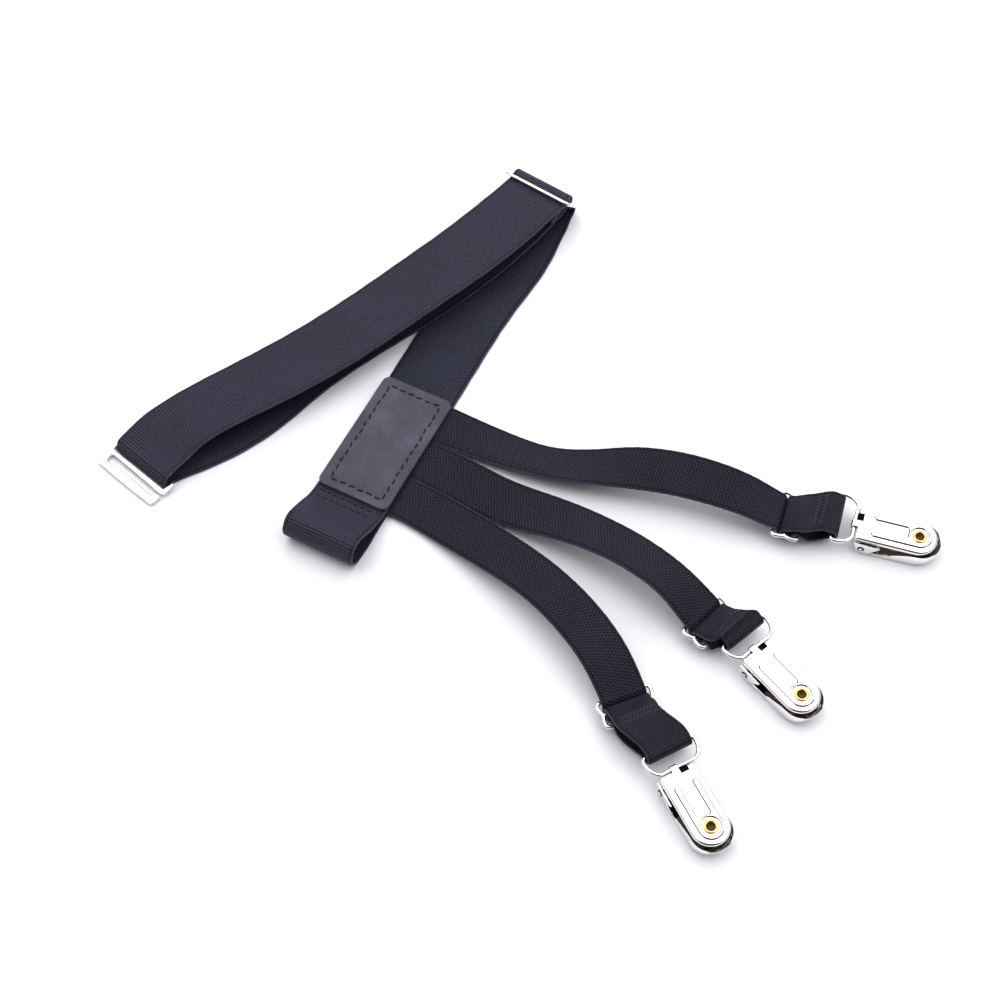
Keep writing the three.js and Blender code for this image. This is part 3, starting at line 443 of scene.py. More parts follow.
def half_outline(back: float, tip: float, half: float, back_round: float, tip_round: float,
                 step: float) -> np.ndarray:
    """One half of a plate's outline, from the middle of its back edge round to its tip.

    Args:
        back: Back edge's x.
        tip: Tip's x.
        half: Half width.
        back_round: Radius of the back corners.
        tip_round: Radius of the front corners, up to half for a round tip.
        step: Spacing of the points.

    Returns:
        Points from (back, 0) to (tip, 0), with y at least 0.
    """
    quarter = np.radians(np.linspace(0.0, 90.0, 20))
    rear = np.stack([back + back_round * (1 - np.sin(quarter)),
                     half - back_round * (1 - np.cos(quarter))], axis=-1)
    front = np.stack([tip - tip_round * (1 - np.sin(quarter)),
                      half - tip_round * (1 - np.cos(quarter))], axis=-1)
    line = np.concatenate([[[back, 0.0]], rear[::-1], front, [[tip, 0.0]]])
    kept = np.concatenate([[True], np.linalg.norm(np.diff(line, axis=0), axis=1) > 1e-6])
    line = line[kept]
    reach = np.concatenate([[0.0], np.cumsum(np.linalg.norm(np.diff(line, axis=0), axis=1))])
    at = np.linspace(0.0, reach[-1], int(reach[-1] / step))
    return np.stack([np.interp(at, reach, line[:, k]) for k in range(2)], axis=-1)


def level(x: np.ndarray, y: np.ndarray) -> np.ndarray:
    """No relief at any x and y."""
    return x * y * 0.0


@dataclass(frozen=True)
class Rib:
    """A column of a plate's wall: how far inside the outline, its height, and how much relief it takes."""

    inset: float
    height: float
    relief: float = 0.0


def plate(half_line: np.ndarray, spine: tuple[float, float], wall: list[Rib], top: float, low: float,
          relief: Callable[[np.ndarray, np.ndarray], np.ndarray], columns: int) -> tuple[np.ndarray, list]:
    """A pressed sheet or pad: columns run from a spine to the outline, down its wall and back under.

    Point = outline - inward * inset, where the inset falls from the whole width at the spine to the
    wall's first inset, and the height is the column's plus its share of the relief.

    Args:
        half_line: Half of the outline.
        spine: Lowest and highest x of the spine, which lies on the middle line.
        wall: Columns of the wall, from the top's edge round to the underside's.
        top: Height of the upper face.
        low: Height of the lower face.
        relief: Height added at x and y.
        columns: Columns across each face.

    Returns:
        Points and faces of a closed body.
    """
    mirrored = half_line[-2:0:-1] * np.array([1.0, -1.0])
    outline = np.concatenate([half_line, mirrored])
    centre = np.stack([np.clip(outline[:, 0], *spine), np.zeros(len(outline))], axis=-1)
    reach = np.linalg.norm(outline - centre, axis=1)
    inward = (outline - centre) / reach[:, None]
    share = np.linspace(0.0, 1.0, columns)[:, None]
    upper = reach * (1 - share) + wall[0].inset * share
    under = reach * share[1:] + wall[-1].inset * (1 - share[1:])
    insets = np.concatenate([upper, [np.full(len(reach), rib.inset) for rib in wall[1:-1]],
                             reach[None] * 0 + wall[-1].inset, under])
    heights = np.concatenate([np.full(columns, top), [rib.height for rib in wall[1:-1]],
                              np.full(columns, low)])
    weights = np.concatenate([np.ones(columns), [rib.relief for rib in wall[1:-1]], np.ones(columns)])
    plan = outline[:, None] - inward[:, None] * insets.T[:, :, None]
    rise = heights[None] + weights[None] * relief(plan[..., 0], plan[..., 1])
    points = np.concatenate([plan, rise[..., None]], axis=-1).reshape(-1, 3)
    return points, grid_faces(len(outline), len(heights), True, False)


def rounded(corners: list[tuple[float, float, float]], steps: int = 6) -> np.ndarray:
    """A closed outline through corners of x, y and radius, each rounded by a curve.

    The curve at a corner is a quadratic from one side to the other.

    Args:
        corners: Corners in order.
        steps: Points at each corner.

    Returns:
        The outline's points.
    """
    points = np.array([corner[:2] for corner in corners])
    outline = []
    for k, (_, _, radius) in enumerate(corners):
        here = points[k]
        back, forth = points[k - 1] - here, points[(k + 1) % len(points)] - here
        back = back * min(radius / np.linalg.norm(back), 0.48)
        forth = forth * min(radius / np.linalg.norm(forth), 0.48)
        t = np.linspace(0.0, 1.0, steps)[:, None]
        outline.append(here + back * (1 - t) ** 2 + forth * t**2)
    return np.concatenate(outline)


# Finishes

def linear(colour: str, alpha: float = 1.0) -> tuple[float, float, float, float]:
    """An sRGB hex colour in linear values."""
    raw = np.array([int(colour[k:k + 2], 16) / 255 for k in (1, 3, 5)])
    value = np.where(raw <= 0.04045, raw / 12.92, ((raw + 0.055) / 1.055) ** 2.4)
    return (*value.tolist(), alpha)


def add(tree: bpy.types.NodeTree, kind: str, inputs: dict | None = None, **settings) -> bpy.types.Node:
    """Adds a node with its settings, values and links.

    Args:
        tree: Node tree.
        kind: Node's type name without the ShaderNode prefix.
        inputs: Value or output socket for each input's name or number.
        settings: The node's own properties.

    Returns:
        The node.
    """
    node = tree.nodes.new("ShaderNode" + kind)
    for name, value in settings.items():
        setattr(node, name, value)
    for key, value in (inputs or {}).items():
        if isinstance(value, bpy.types.NodeSocket):
            tree.links.new(value, node.inputs[key])
        else:
            node.inputs[key].default_value = value
    return node


@dataclass(frozen=True)
class Finish:
    """A surface finish: its name, base colour and the values that stay the same all over it."""

    name: str
    colour: str
    roughness: float = 0.5
    metallic: float = 0.0
    specular: float = 0.5
    sheen: float = 0.0
    sheen_colour: str = "#ffffff"

    def start(self) -> tuple[bpy.types.Material, bpy.types.NodeTree, bpy.types.Node]:
        """A new material with its shader's constant values set."""
        material = bpy.data.materials.new(self.name)
        material.use_nodes = True
        tree = material.node_tree
        shader = tree.nodes["Principled BSDF"]
        shader.inputs["Base Color"].default_value = linear(self.colour)
        shader.inputs["Roughness"].default_value = self.roughness
        shader.inputs["Metallic"].default_value = self.metallic
        shader.inputs["Specular IOR Level"].default_value = self.specular
        shader.inputs["Sheen Weight"].default_value = self.sheen
        shader.inputs["Sheen Tint"].default_value = linear(self.sheen_colour)
        return material, tree, shader


class Weave(Enum):
    """Which face of the elastic a finish is for."""

    PLUSH = "plush"
    SATIN = "satin"


@dataclass(frozen=True)
class Elastic(Finish):
    """Woven black elastic. The plush face has a zigzag knit, the satin face fine ribs across."""

    weave: Weave = Weave.PLUSH
    thread: str = "#4b4b58"
    selvedge: str = "#4c4c60"
    width: float = BAND_WIDTH
    course: float = 1.4  # spacing of the ribs along the webbing, coarser than the real 0.6 mm to show
    wale: float = 1.3  # spacing of the columns across it, coarser than the real 0.8 mm to show
    contrast: float = 0.75  # how much of the tone is the pattern's
    fuzz: float = 0.9  # how much of the tone is uneven yarn
    depth: float = 0.3  # of the relief, in millimetres

    def build(self) -> bpy.types.Material:
        """Colour and relief come from two waves in the webbing's own millimetres, and a noise."""
        material, tree, shader = self.start()
        uv = add(tree, "UVMap", uv_map="weave")
        split = add(tree, "SeparateXYZ", {0: uv.outputs[0]})
        across, along = split.outputs["X"], split.outputs["Y"]

        def calc(kind: str, first, second=0.0, third=0.0) -> bpy.types.NodeSocket:
            """A math node's result."""
            return add(tree, "Math", {0: first, 1: second, 2: third}, operation=kind).outputs[0]

        turn = 2 * math.pi
        columns = calc("SINE", calc("MULTIPLY", across, turn / self.wale))
        if self.weave is Weave.PLUSH:
            lean = calc("MULTIPLY_ADD", calc("PINGPONG", across, self.wale), 0.9, along)
            rows = calc("SINE", calc("MULTIPLY", lean, turn / self.course))
            mixed = calc("MULTIPLY_ADD", calc("MULTIPLY", columns, rows), 0.7, calc("MULTIPLY", rows, 0.4))
        else:
            rows = calc("SINE", calc("MULTIPLY", along, turn / self.course))
            mixed = calc("MULTIPLY_ADD", columns, 0.22, calc("MULTIPLY", rows, 0.5))
        place = add(tree, "CombineXYZ", {0: across, 1: along})
        fuzz = add(tree, "TexNoise",
                   {"Vector": place.outputs[0], "Scale": 1.1, "Detail": 3.0, "Roughness": 0.7})
        yarn = calc("MULTIPLY_ADD", mixed, self.contrast, calc("MULTIPLY", fuzz.outputs[0], self.fuzz))
        edge = calc("ABSOLUTE", across)
        half = self.width / 2
        border = add(tree, "MapRange", {0: edge, 1: half - 1.5, 2: half - 1.2, 3: 1.0, 4: 0.75})
        groove = calc("COMPARE", edge, half - 1.35, 0.16)
        relief = calc("MULTIPLY_ADD", groove, -0.5, calc("MULTIPLY", yarn, border.outputs[0]))
        patchy = add(tree, "TexNoise", {"Vector": place.outputs[0], "Scale": 0.04, "Detail": 3.0})
        tone = calc("MULTIPLY_ADD", patchy.outputs[0], 0.3, relief)
        middle = self.fuzz / 2 + 0.15
        share = add(tree, "MapRange", {0: tone, 1: middle - 0.55, 2: middle + 0.75, 3: 0.0, 4: 1.0})
        colour = add(tree, "Mix", {0: share.outputs[0], 6: linear(self.colour), 7: linear(self.thread)},
                     data_type="RGBA")
        brim = add(tree, "MapRange", {0: edge, 1: half - 0.5, 2: half - 0.2, 3: 0.0, 4: 0.6})
        hemmed = add(tree, "Mix", {0: brim.outputs[0], 6: colour.outputs[2], 7: linear(self.selvedge)},
                     data_type="RGBA")
        lint_place = add(tree, "CombineXYZ", {0: across, 1: calc("MULTIPLY", along, 0.55)})
        lint = add(tree, "TexVoronoi", {"Vector": lint_place.outputs[0], "Scale": 0.13, "Randomness": 1.0})
        speck = add(tree, "MapRange", {0: lint.outputs["Distance"], 1: 0.022, 2: 0.014, 3: 0.0, 4: 0.5})
        dusted = add(tree, "Mix", {0: speck.outputs[0], 6: hemmed.outputs[2], 7: linear("#9a9aa6")},
                     data_type="RGBA")
        tree.links.new(dusted.outputs[2], shader.inputs["Base Color"])
        bump = add(tree, "Bump", {"Strength": 0.9, "Distance": self.depth * MM, "Height": relief})
        tree.links.new(bump.outputs[0], shader.inputs["Normal"])
        return material


@dataclass(frozen=True)
class Leather(Finish):
    """Grained leather: small cells with soft valleys, a little mottled."""

    grain: float = 0.8
    dark: str = "#1c1c26"

    def build(self) -> bpy.types.Material:
        """Cells of the grain's size in bump, with a noise over colour and roughness."""
        material, tree, shader = self.start()
        place = add(tree, "TexCoord").outputs["Object"]
        cells = add(tree, "TexVoronoi", {"Vector": place, "Scale": 1.0 / (self.grain * MM)},
                    feature="SMOOTH_F1")
        pores = add(tree, "TexNoise", {"Vector": place, "Scale": 1.0 / (0.5 * MM), "Detail": 4.0})
        clouds = add(tree, "TexNoise", {"Vector": place, "Scale": 1.0 / (14 * MM), "Detail": 4.0})
        height = add(tree, "Math", {0: cells.outputs["Distance"], 1: pores.outputs[0]}, operation="ADD")
        tone = add(tree, "Math", {0: height.outputs[0], 1: 0.35, 2: clouds.outputs[0]},
                   operation="MULTIPLY_ADD")
        share = add(tree, "MapRange", {0: tone.outputs[0], 1: 0.45, 2: 1.15, 3: 0.0, 4: 1.0})
        colour = add(tree, "Mix", {0: share.outputs[0], 6: linear(self.dark), 7: linear(self.colour)},
                     data_type="RGBA")
        tree.links.new(colour.outputs[2], shader.inputs["Base Color"])
        gloss = add(tree, "MapRange", {0: height.outputs[0], 1: 0.2, 2: 1.2, 3: self.roughness - 0.08,
                                       4: self.roughness + 0.12})
        tree.links.new(gloss.outputs[0], shader.inputs["Roughness"])
        bump = add(tree, "Bump", {"Strength": 0.5, "Distance": 0.12 * MM, "Height": height.outputs[0]})
        tree.links.new(bump.outputs[0], shader.inputs["Normal"])
        return material


@dataclass(frozen=True)
class Plated(Finish):
    """Plated or polished metal: hazy spots and faint rubbed marks."""

    haze: float = 0.08
    tarnish: str = "#cfcac2"

    def build(self) -> bpy.types.Material:
        """A fine noise lifts the roughness, a broad one stains the colour a little."""
        material, tree, shader = self.start()
        place = add(tree, "TexCoord").outputs["Object"]
        marks = add(tree, "TexNoise",
                    {"Vector": place, "Scale": 1.0 / (2.2 * MM), "Detail": 6.0, "Roughness": 0.65})
        spots = add(tree, "MapRange", {0: marks.outputs[0], 1: 0.4, 2: 0.75, 3: self.roughness,
                                       4: self.roughness + self.haze})
        tree.links.new(spots.outputs[0], shader.inputs["Roughness"])
        clouds = add(tree, "TexNoise", {"Vector": place, "Scale": 1.0 / (6 * MM), "Detail": 3.0})
        share = add(tree, "MapRange", {0: clouds.outputs[0], 1: 0.5, 2: 0.85, 3: 0.0, 4: 0.4})
        colour = add(tree, "Mix", {0: share.outputs[0], 6: linear(self.colour), 7: linear(self.tarnish)},
                     data_type="RGBA")
        tree.links.new(colour.outputs[2], shader.inputs["Base Color"])
        bump = add(tree, "Bump", {"Strength": 0.1, "Distance": 0.015 * MM, "Height": marks.outputs[0]})
        tree.links.new(bump.outputs[0], shader.inputs["Normal"])
        return material


@dataclass(frozen=True)
class Speckled(Finish):
    """Thread, plastic or paint with a fine uneven surface."""

    grain: float = 0.3
    depth: float = 0.03
    dark: str = "#000000"
    cover: float = 0.3

    def build(self) -> bpy.types.Material:
        """One noise of the grain's size in colour and bump."""
        material, tree, shader = self.start()
        place = add(tree, "TexCoord").outputs["Object"]
        noise = add(tree, "TexNoise", {"Vector": place, "Scale": 1.0 / (self.grain * MM), "Detail": 3.0})
        share = add(tree, "MapRange", {0: noise.outputs[0], 1: 0.3, 2: 0.75, 3: 0.0, 4: self.cover})
        colour = add(tree, "Mix", {0: share.outputs[0], 6: linear(self.colour), 7: linear(self.dark)},
                     data_type="RGBA")
        tree.links.new(colour.outputs[2], shader.inputs["Base Color"])
        bump = add(tree, "Bump", {"Strength": 0.5, "Distance": self.depth * MM, "Height": noise.outputs[0]})
        tree.links.new(bump.outputs[0], shader.inputs["Normal"])
        return material


@dataclass
class Finishes:
    """Every finish on the stay, made once."""

    # matte brushed pile: nearly black between its loops, with dotted dark pits
    band_plush: bpy.types.Material = field(default_factory=lambda: Elastic(
        "plush_elastic_30", "#07070c", 0.85, specular=0.12, sheen=0.05, sheen_colour="#7c7cb0",
        weave=Weave.PLUSH, thread="#454657", width=BAND_WIDTH, contrast=0.5).build())
    # smooth filament face: fine ribs that catch a broad grey highlight
    band_satin: bpy.types.Material = field(default_factory=lambda: Elastic(
        "satin_elastic_30", "#08080d", 0.52, specular=0.24, sheen=0.05, sheen_colour="#7c7cb0",
        weave=Weave.SATIN, thread="#3b3b52", width=BAND_WIDTH, course=1.2, wale=1.1, fuzz=1.5).build())
    strap_plush: bpy.types.Material = field(default_factory=lambda: Elastic(
        "plush_elastic_20", "#040408", 0.85, specular=0.12, sheen=0.05, sheen_colour="#7c7cb0",
        weave=Weave.PLUSH, thread="#3d3d4a", width=STRAP_WIDTH, contrast=0.9, course=1.45, wale=1.25).build())
    strap_satin: bpy.types.Material = field(default_factory=lambda: Elastic(
        "satin_elastic_20", "#050509", 0.42, specular=0.16, sheen=0.04, sheen_colour="#7c7cb0",
        weave=Weave.SATIN, thread="#29293a", width=STRAP_WIDTH, course=1.1, wale=1.0, contrast=0.5,
        fuzz=1.7).build())
    # pigmented split leather, embossed: low sheen with small bright cells
    leather: bpy.types.Material = field(default_factory=lambda: Leather(
        "embossed_leather", "#50505f", 0.5, specular=0.3).build())
    # bonded polyester sewing thread: slightly shiny and rounder than the weave
    thread: bpy.types.Material = field(default_factory=lambda: Speckled(
        "polyester_thread", "#0b0b0e", 0.5, specular=0.25).build())
    # the same thread where it is worked dense on the loops, painted lighter: a painted highlight for where it
    # stands off the cloth and catches light
    lit_tack_thread: bpy.types.Material = field(default_factory=lambda: Speckled(
        "polyester_thread_painted_lighter", "#30303c", 0.5, specular=0.3).build())
    # bright nickel plate on pressed steel: near mirror, slightly warm
    nickel: bpy.types.Material = field(default_factory=lambda: Plated(
        "bright_nickel_plate", "#f0eeea", 0.07, 1.0).build())
    # lacquered brass eyelet: pale yellow mirror with a soft haze
    brass: bpy.types.Material = field(default_factory=lambda: Plated(
        "lacquered_brass", "#dcc07e", 0.16, 1.0, tarnish="#b08c4c").build())
    # brass painted dark brown: painted shade for the eyelet's bore, on its closed foot
    bore_shade_brass: bpy.types.Material = field(default_factory=lambda: Plated(
        "brass_painted_bore_shade", "#5c4a30", 0.45, 0.6, specular=0.2, tarnish="#33281c").build())
    # black painted shade inside the clip: matte near-black, on the leaf and stop so the notch stays dark, and
    # on the rings round the pin's ends
    painted_shade: bpy.types.Material = field(default_factory=lambda: Plated(
        "black_painted_shade", "#0c0b0b", 0.6, specular=0.15, tarnish="#050505").build())
    # smoky soft vinyl pad: waxy, brownish grey
    vinyl: bpy.types.Material = field(default_factory=lambda: Speckled(
        "smoky_vinyl", "#8d8377", 0.42, dark="#5c544b", grain=1.6, cover=0.8).build())


# Webbing pieces

def web_section(width: float) -> tuple[np.ndarray, np.ndarray]:
    """Webbing's section: flat faces, round edges, and a shallow groove inside each selvedge.

    Args:
        width: Webbing's width.

    Returns:
        Pairs of across and up, and for each the material number of the face that follows it.
    """
    round_edge = WEB_THICK / 2
    across = np.sin(np.linspace(-np.pi / 2, np.pi / 2, 17)) * (width / 2 - round_edge)
    groove = 0.05 * np.exp(-(((np.abs(across) - width / 2 + 1.35) / 0.3) ** 2))
    top = np.stack([across, WEB_THICK / 2 - groove], axis=-1)
    turn = np.radians([67.5, 45.0, 22.5, 0.0, -22.5, -45.0, -67.5])
    edge = np.stack([width / 2 - round_edge + round_edge * np.cos(turn), round_edge * np.sin(turn)], axis=-1)
    section = np.concatenate([top, edge, top[::-1] * [1, -1], edge[::-1] * [-1, 1]])
    kinds = np.concatenate([np.zeros(17 + 3), np.ones(4 + 17 + 3), np.zeros(4)])
    return section, kinds


def webbing(name: str, path: Path, width: float, plush: bpy.types.Material, satin: bpy.types.Material,
            node: str, relaxed: np.ndarray | float = 1.0) -> bpy.types.Object:
    """A webbing piece: its section carried along the path, plush on its upper face.

    Args:
        name: Piece's name.
        path: Its path.
        width: Its width where it is stretched.
        plush: Upper face's finish.
        satin: Lower face's finish.
        node: CAD node that it stands for.
        relaxed: Share of the width at each station, over 1 where the elastic isn't stretched.

    Returns:
        The piece.
    """
    section, kinds = web_section(width)
    reach = path.reach()
    ripple = 1.0 + 0.004 * np.sin(reach * 4.4)[:, None, None]  # selvedge picks, 1.4 mm apart
    wide = np.broadcast_to(relaxed, reach.shape)[:, None, None]
    across = section[None, :, :1] * ripple
    points = (path.place[:, None] + path.side[:, None] * across * wide
              + path.faces()[:, None] * section[None, :, 1:])
    uv = np.stack(np.broadcast_arrays(across[..., 0], reach[:, None]), axis=-1).reshape(-1, 2)
    faces = grid_faces(len(reach), len(section), False, True, True)
    numbers = np.concatenate([np.tile(kinds, len(reach) - 1), [0, 0]])
    return SHOP.piece(name, points.reshape(-1, 3), faces, plush, STAY, (node,), uv,
                      numbers, (satin,))


def stitches(places: np.ndarray, directions: np.ndarray, normals: np.ndarray, length: float,
             radius: float) -> tuple[np.ndarray, list]:
    """Thread stitches: each is a bowed sausage whose ends go down into the cloth.

    Point = middle + direction * along + side * across + normal * up, where the thread's line rises as
    a half circle over its length and its radius falls to nothing at both ends.

    Args:
        places: Middle of each stitch, on the surface.
        directions: Unit vector along each.
        normals: Unit vector out of the surface at each.
        length: Stitch's length.
        radius: Thread's radius.

    Returns:
        Points and faces of all of them.
    """
    share = np.linspace(-1.0, 1.0, 9)
    swell = radius * np.sqrt(np.maximum(1 - share**6, 0.0)) + 1e-3
    bow = radius * 0.9 * (1 - share**2) - radius * 0.35
    turn = np.linspace(0.0, 2 * np.pi, 7, endpoint=False)
    along = np.broadcast_to(share[:, None] * length / 2, (9, 7))
    across = swell[:, None] * np.cos(turn)
    up = swell[:, None] * np.sin(turn) + bow[:, None]
    side = unit(np.cross(directions, normals))
    local = np.stack([along, across, up], axis=-1).reshape(-1, 3)
    basis = np.stack([directions, side, normals], axis=1)
    points = places[:, None] + np.einsum("pk,nkd->npd", local, basis)
    one = np.array(grid_faces(9, 7, False, True))
    faces = (one[None] + 63 * np.arange(len(places))[:, None, None]).reshape(-1, 4).tolist()
    caps = []
    for k in range(len(places)):
        caps.append(list(range(63 * k + 6, 63 * k - 1, -1)))
        caps.append(list(range(63 * k + 56, 63 * k + 63)))
    return points.reshape(-1, 3), faces + caps


@dataclass(frozen=True)
class Station:
    """A point on webbing by its distance along and across, on one of its faces."""

    path: Path

    def at(self, along: np.ndarray, across: np.ndarray,
           face: int) -> tuple[np.ndarray, np.ndarray, np.ndarray]:
        """Places on a face, with directions along the webbing and out of it."""
        reach = self.path.reach()
        place, side, out = self.path.place, self.path.side, self.path.faces() * face

        def pick(values: np.ndarray) -> np.ndarray:
            """Rows at the asked distances."""
            return np.stack([np.interp(along, reach, values[:, k]) for k in range(3)], axis=-1)

        normal = unit(pick(out))
        points = pick(place) + unit(pick(side)) * np.asarray(across)[:, None] + normal * WEB_THICK / 2
        return points, unit(pick(unit(np.gradient(place, axis=0)))), normal


def bartack(path: Path, start: float, depth: float, width: float, face: int) -> tuple[np.ndarray, list]:
    """A zigzag bartack across webbing: slanted stitches in two crossing sets.

    Args:
        path: Webbing's path.
        start: Where it starts, along the webbing.
        depth: How far it reaches along.
        width: How far it reaches across.
        face: 1 for the upper face and -1 for the lower.

    Returns:
        Points and faces.
    """
    across = np.arange(-width / 2, width / 2, TACK_STEP)
    parts = []
    for row in range(max(1, round(depth / TACK_ROW))):
        for lean in (-1, 1):
            middle = np.full(len(across), start + TACK_ROW / 2 + TACK_ROW * row)
            place, along, normal = Station(path).at(middle, across + TACK_STEP / 2 * (lean > 0), face)
            side = unit(np.cross(along, normal))
            direction = unit(along * TACK_ROW / 2 + side * TACK_STEP / 2 * lean)
            parts.append(stitches(place, direction, normal, 3.1, 0.26))
    return joined(parts)


@dataclass
class ThighBand:
    """The 30 mm band: end loop, run on the floor, curl, slider, folded run to the hook and back."""

    finishes: Finishes
    width: float = BAND_WIDTH
    slider_reach: float = 146.0
    slider_bearing: float = 62.9
    slider_tilt: float = 50.0
    slider_heading: float = 56.0
    hook_reach: float = 220.2
    hook_bearing: float = -140.66
    hook_heading: float = -130.8
    hook_thick: float = 1.6
    hook_depth: float = 12.4
    upper_length: float = 221.7
    rise: float = 14.0
    tail: float = 14.0
    loop_length: float = 29.2
    loop_height: float = 15.2
    sway: float = 3.0  # how far the run on the floor bows to the right
    sway_at: float = 118.0
    slack: float = 0.105  # how much wider the band is where nothing holds it

    def __post_init__(self) -> None:
        """Works out where the slider's bars and the hook's inner bar lie."""
        self.slider_plan = ahead(self.slider_bearing) * self.slider_reach
        self.hook_plan = self.slider_plan + ahead(self.hook_bearing) * self.hook_reach
        self.hook_height = WEB_FLOOR + WEB_THICK / 2 + GAP + self.hook_thick / 2
        top = self.upper_rows()[0].lift + SNUG
        lean = math.radians(self.slider_tilt)
        self.bars = [(k * BAR_PITCH * math.cos(lean), top - k * BAR_PITCH * math.sin(lean)) for k in range(3)]

    def upper_rows(self) -> list[Row]:
        """Rows of the folded band's upper layer, from slider to hook."""
        rise = self.rise
        return [
            Row(0, -128, 1.1 * rise), Row(0.12, -133.5, 1.15 * rise, 4), Row(0.25, -138.8, 1.13 * rise, 2.8),
            Row(0.4, -140.2, 1.07 * rise, 0.6), Row(0.55, -143.8, 0.95 * rise),
            Row(0.7, -148.7, 0.85 * rise, -2), Row(0.8, -149.1, 0.79 * rise, -4.2),
            Row(0.88, -143.7, 0.73 * rise, -3.7), Row(0.95, -135.5, 0.58 * rise, 2),
            Row(1, -130.8, 0.46 * rise),
        ]

    def lower_rows(self) -> list[Row]:
        """Rows of the layer under it, from hook back to slider."""
        rise = self.rise
        return [
            Row(0, 31, 0), Row(0.08, 29, 0), Row(0.18, 38, 0), Row(0.3, 49, 0), Row(0.42, 43, 0.02 * rise),
            Row(0.55, 38, 0.09 * rise), Row(0.68, 39, 0.17 * rise), Row(0.8, 42, 0.3 * rise),
            Row(0.9, 47, 0.52 * rise), Row(1, 52, 0.74 * rise),
        ]

    def end_loop(self) -> np.ndarray:
        """Side view of the end loop, from under the patch out, round and down to the floor."""
        edge = -PATCH_LENGTH / 2
        share = np.array([[0.12, 0.29], [0.32, 0.43], [0.52, 0.67], [0.7, 0.87], [0.84, 0.93], [0.95, 0.76],
                          [0.99, 0.5], [0.95, 0.26], [0.86, 0.1]])
        rows = np.stack([edge - share[:, 0] * self.loop_length + WEB_THICK / 2,
                         np.maximum(share[:, 1] * self.loop_height, WEB_FLOOR + 0.1)], axis=-1)
        tucked = np.array([[edge + SEAM_TUCK, Patch.under(edge + SEAM_TUCK) - GAP - WEB_THICK / 2],
                           [edge + 1, Patch.under(edge + 1) - GAP - WEB_THICK / 2]])
        landing = np.array([[edge - self.loop_length * 0.74, WEB_FLOOR]])
        return np.concatenate([tucked[:1], smooth_line(np.concatenate([tucked[1:], rows, landing]), 60)])

    def path(self) -> Path:
        """The whole band's path in the order that the webbing runs."""
        first, centre, last = self.bars
        axis = 180 - self.slider_tilt
        curl_radius = last[1] * 0.42
        curl_centre = (last[0] - WEB_THICK, WEB_FLOOR + curl_radius)
        edge = -PATCH_LENGTH / 2
        flat = np.linspace(edge, self.slider_reach - 3 * curl_radius, 30)
        lie = np.stack([flat, np.full(len(flat), WEB_FLOOR)], axis=-1)
        surface = upright(np.concatenate([self.end_loop(), lie]), np.zeros(3), PATCH_HEADING)
        drift = self.sway * np.exp(-(((flat - self.sway_at) / 26.0) ** 2))
        surface.place[-len(flat):] += right_of(PATCH_HEADING) * drift[:, None]
        curl = arc(curl_centre, curl_radius, -90, 35)
        weave = np.concatenate([
            curl, arc(last, SNUG, 240, axis + CROSSING),
            arc(centre, OVER, axis + CROSSING - 180, axis - CROSSING),
            arc(first, SNUG, axis + 180 - CROSSING, 268),
        ])
        around = upright(weave, self.slider_plan, self.slider_heading)
        turn = np.clip(np.arange(len(weave)) / len(curl), 0, 1)
        around.side = right_of(PATCH_HEADING + (self.slider_heading - PATCH_HEADING) * turn)
        upper = lay(self.upper_rows(), around.place[-1], self.upper_length, self.width, self.hook_plan, 150)
        upper.side = -upper.side
        fold = arc((0.2, self.hook_height), SNUG + self.hook_thick / 2 - WIRE_RADIUS + 0.25, 40, -60)
        fold = np.concatenate([fold, [[-1.2, WEB_FLOOR]]])
        hook_fold = upright(fold, self.hook_plan, self.hook_heading, self.hook_heading + 180)
        wrap_start = upright(np.array([[centre[0] - BAR_PITCH, centre[1] - SNUG]]), self.slider_plan,
                             self.slider_heading).place[0]
        back = self.hook_plan - ahead(self.hook_heading) * 4
        run = float(np.linalg.norm((wrap_start - back)[:2]))
        lower = lay(self.lower_rows(), back, run, self.width, wrap_start, 110)
        tail_lift = (centre[1] + first[1] - SNUG) / 2 - 0.4
        ending = [[centre[0] - BAR_PITCH * 0.75, tail_lift],
                  [centre[0] - self.tail, tail_lift - self.tail * 0.05]]
        wrap = np.concatenate([arc(centre, SNUG, -90, 170), ending])
        wrapped = upright(wrap, self.slider_plan, self.slider_heading)
        return surface + around + upper + hook_fold + lower + wrapped

    def build(self) -> None:
        """Makes the band, its stitching and its fittings."""
        path = self.path().evened(0.3, 1.3, 1.1)
        reach = path.reach()
        lying = 1.0 - ease(reach, 250.0, 266.0)
        lower = ease(reach, 520.0, 560.0) * (1.0 - ease(reach, 660.0, 700.0))
        webbing("thigh_band_elastic", path, self.width, self.finishes.band_plush, self.finishes.band_satin,
                "thigh_band", 1.0 + self.slack * (lying + 0.3 * lower))
        self.seams(path)
        slider = Slider(self.width, 1.6)
        slider.build("band_slider_wire", "band_slider", self.slider_plan + UP * self.bars[0][1],
                     self.slider_heading, self.slider_tilt, 0.0, self.finishes.nickel)
        Hook(self).build()

    def seams(self, path: Path) -> None:
        """Two rows of stitches on the end loop beside the patch, and the tail's bartack."""
        start = SEAM_TUCK + 1.0
        across = np.arange(-self.width / 2 + 2.5, self.width / 2 - 2, 3.2)
        parts = []
        for row in (1.4, 5.0):
            place, along, normal = Station(path).at(np.full(len(across), start + row), across, -1)
            parts.append(stitches(place, unit(np.cross(along, normal)), normal, 2.3, 0.28))
        length = path.reach()[-1]
        parts.append(bartack(path, length - 9.0, 6.0, self.width - 4, 1))
        points, faces = joined(parts)
        SHOP.piece("thigh_band_stitches", points, faces, self.finishes.thread, STAY)


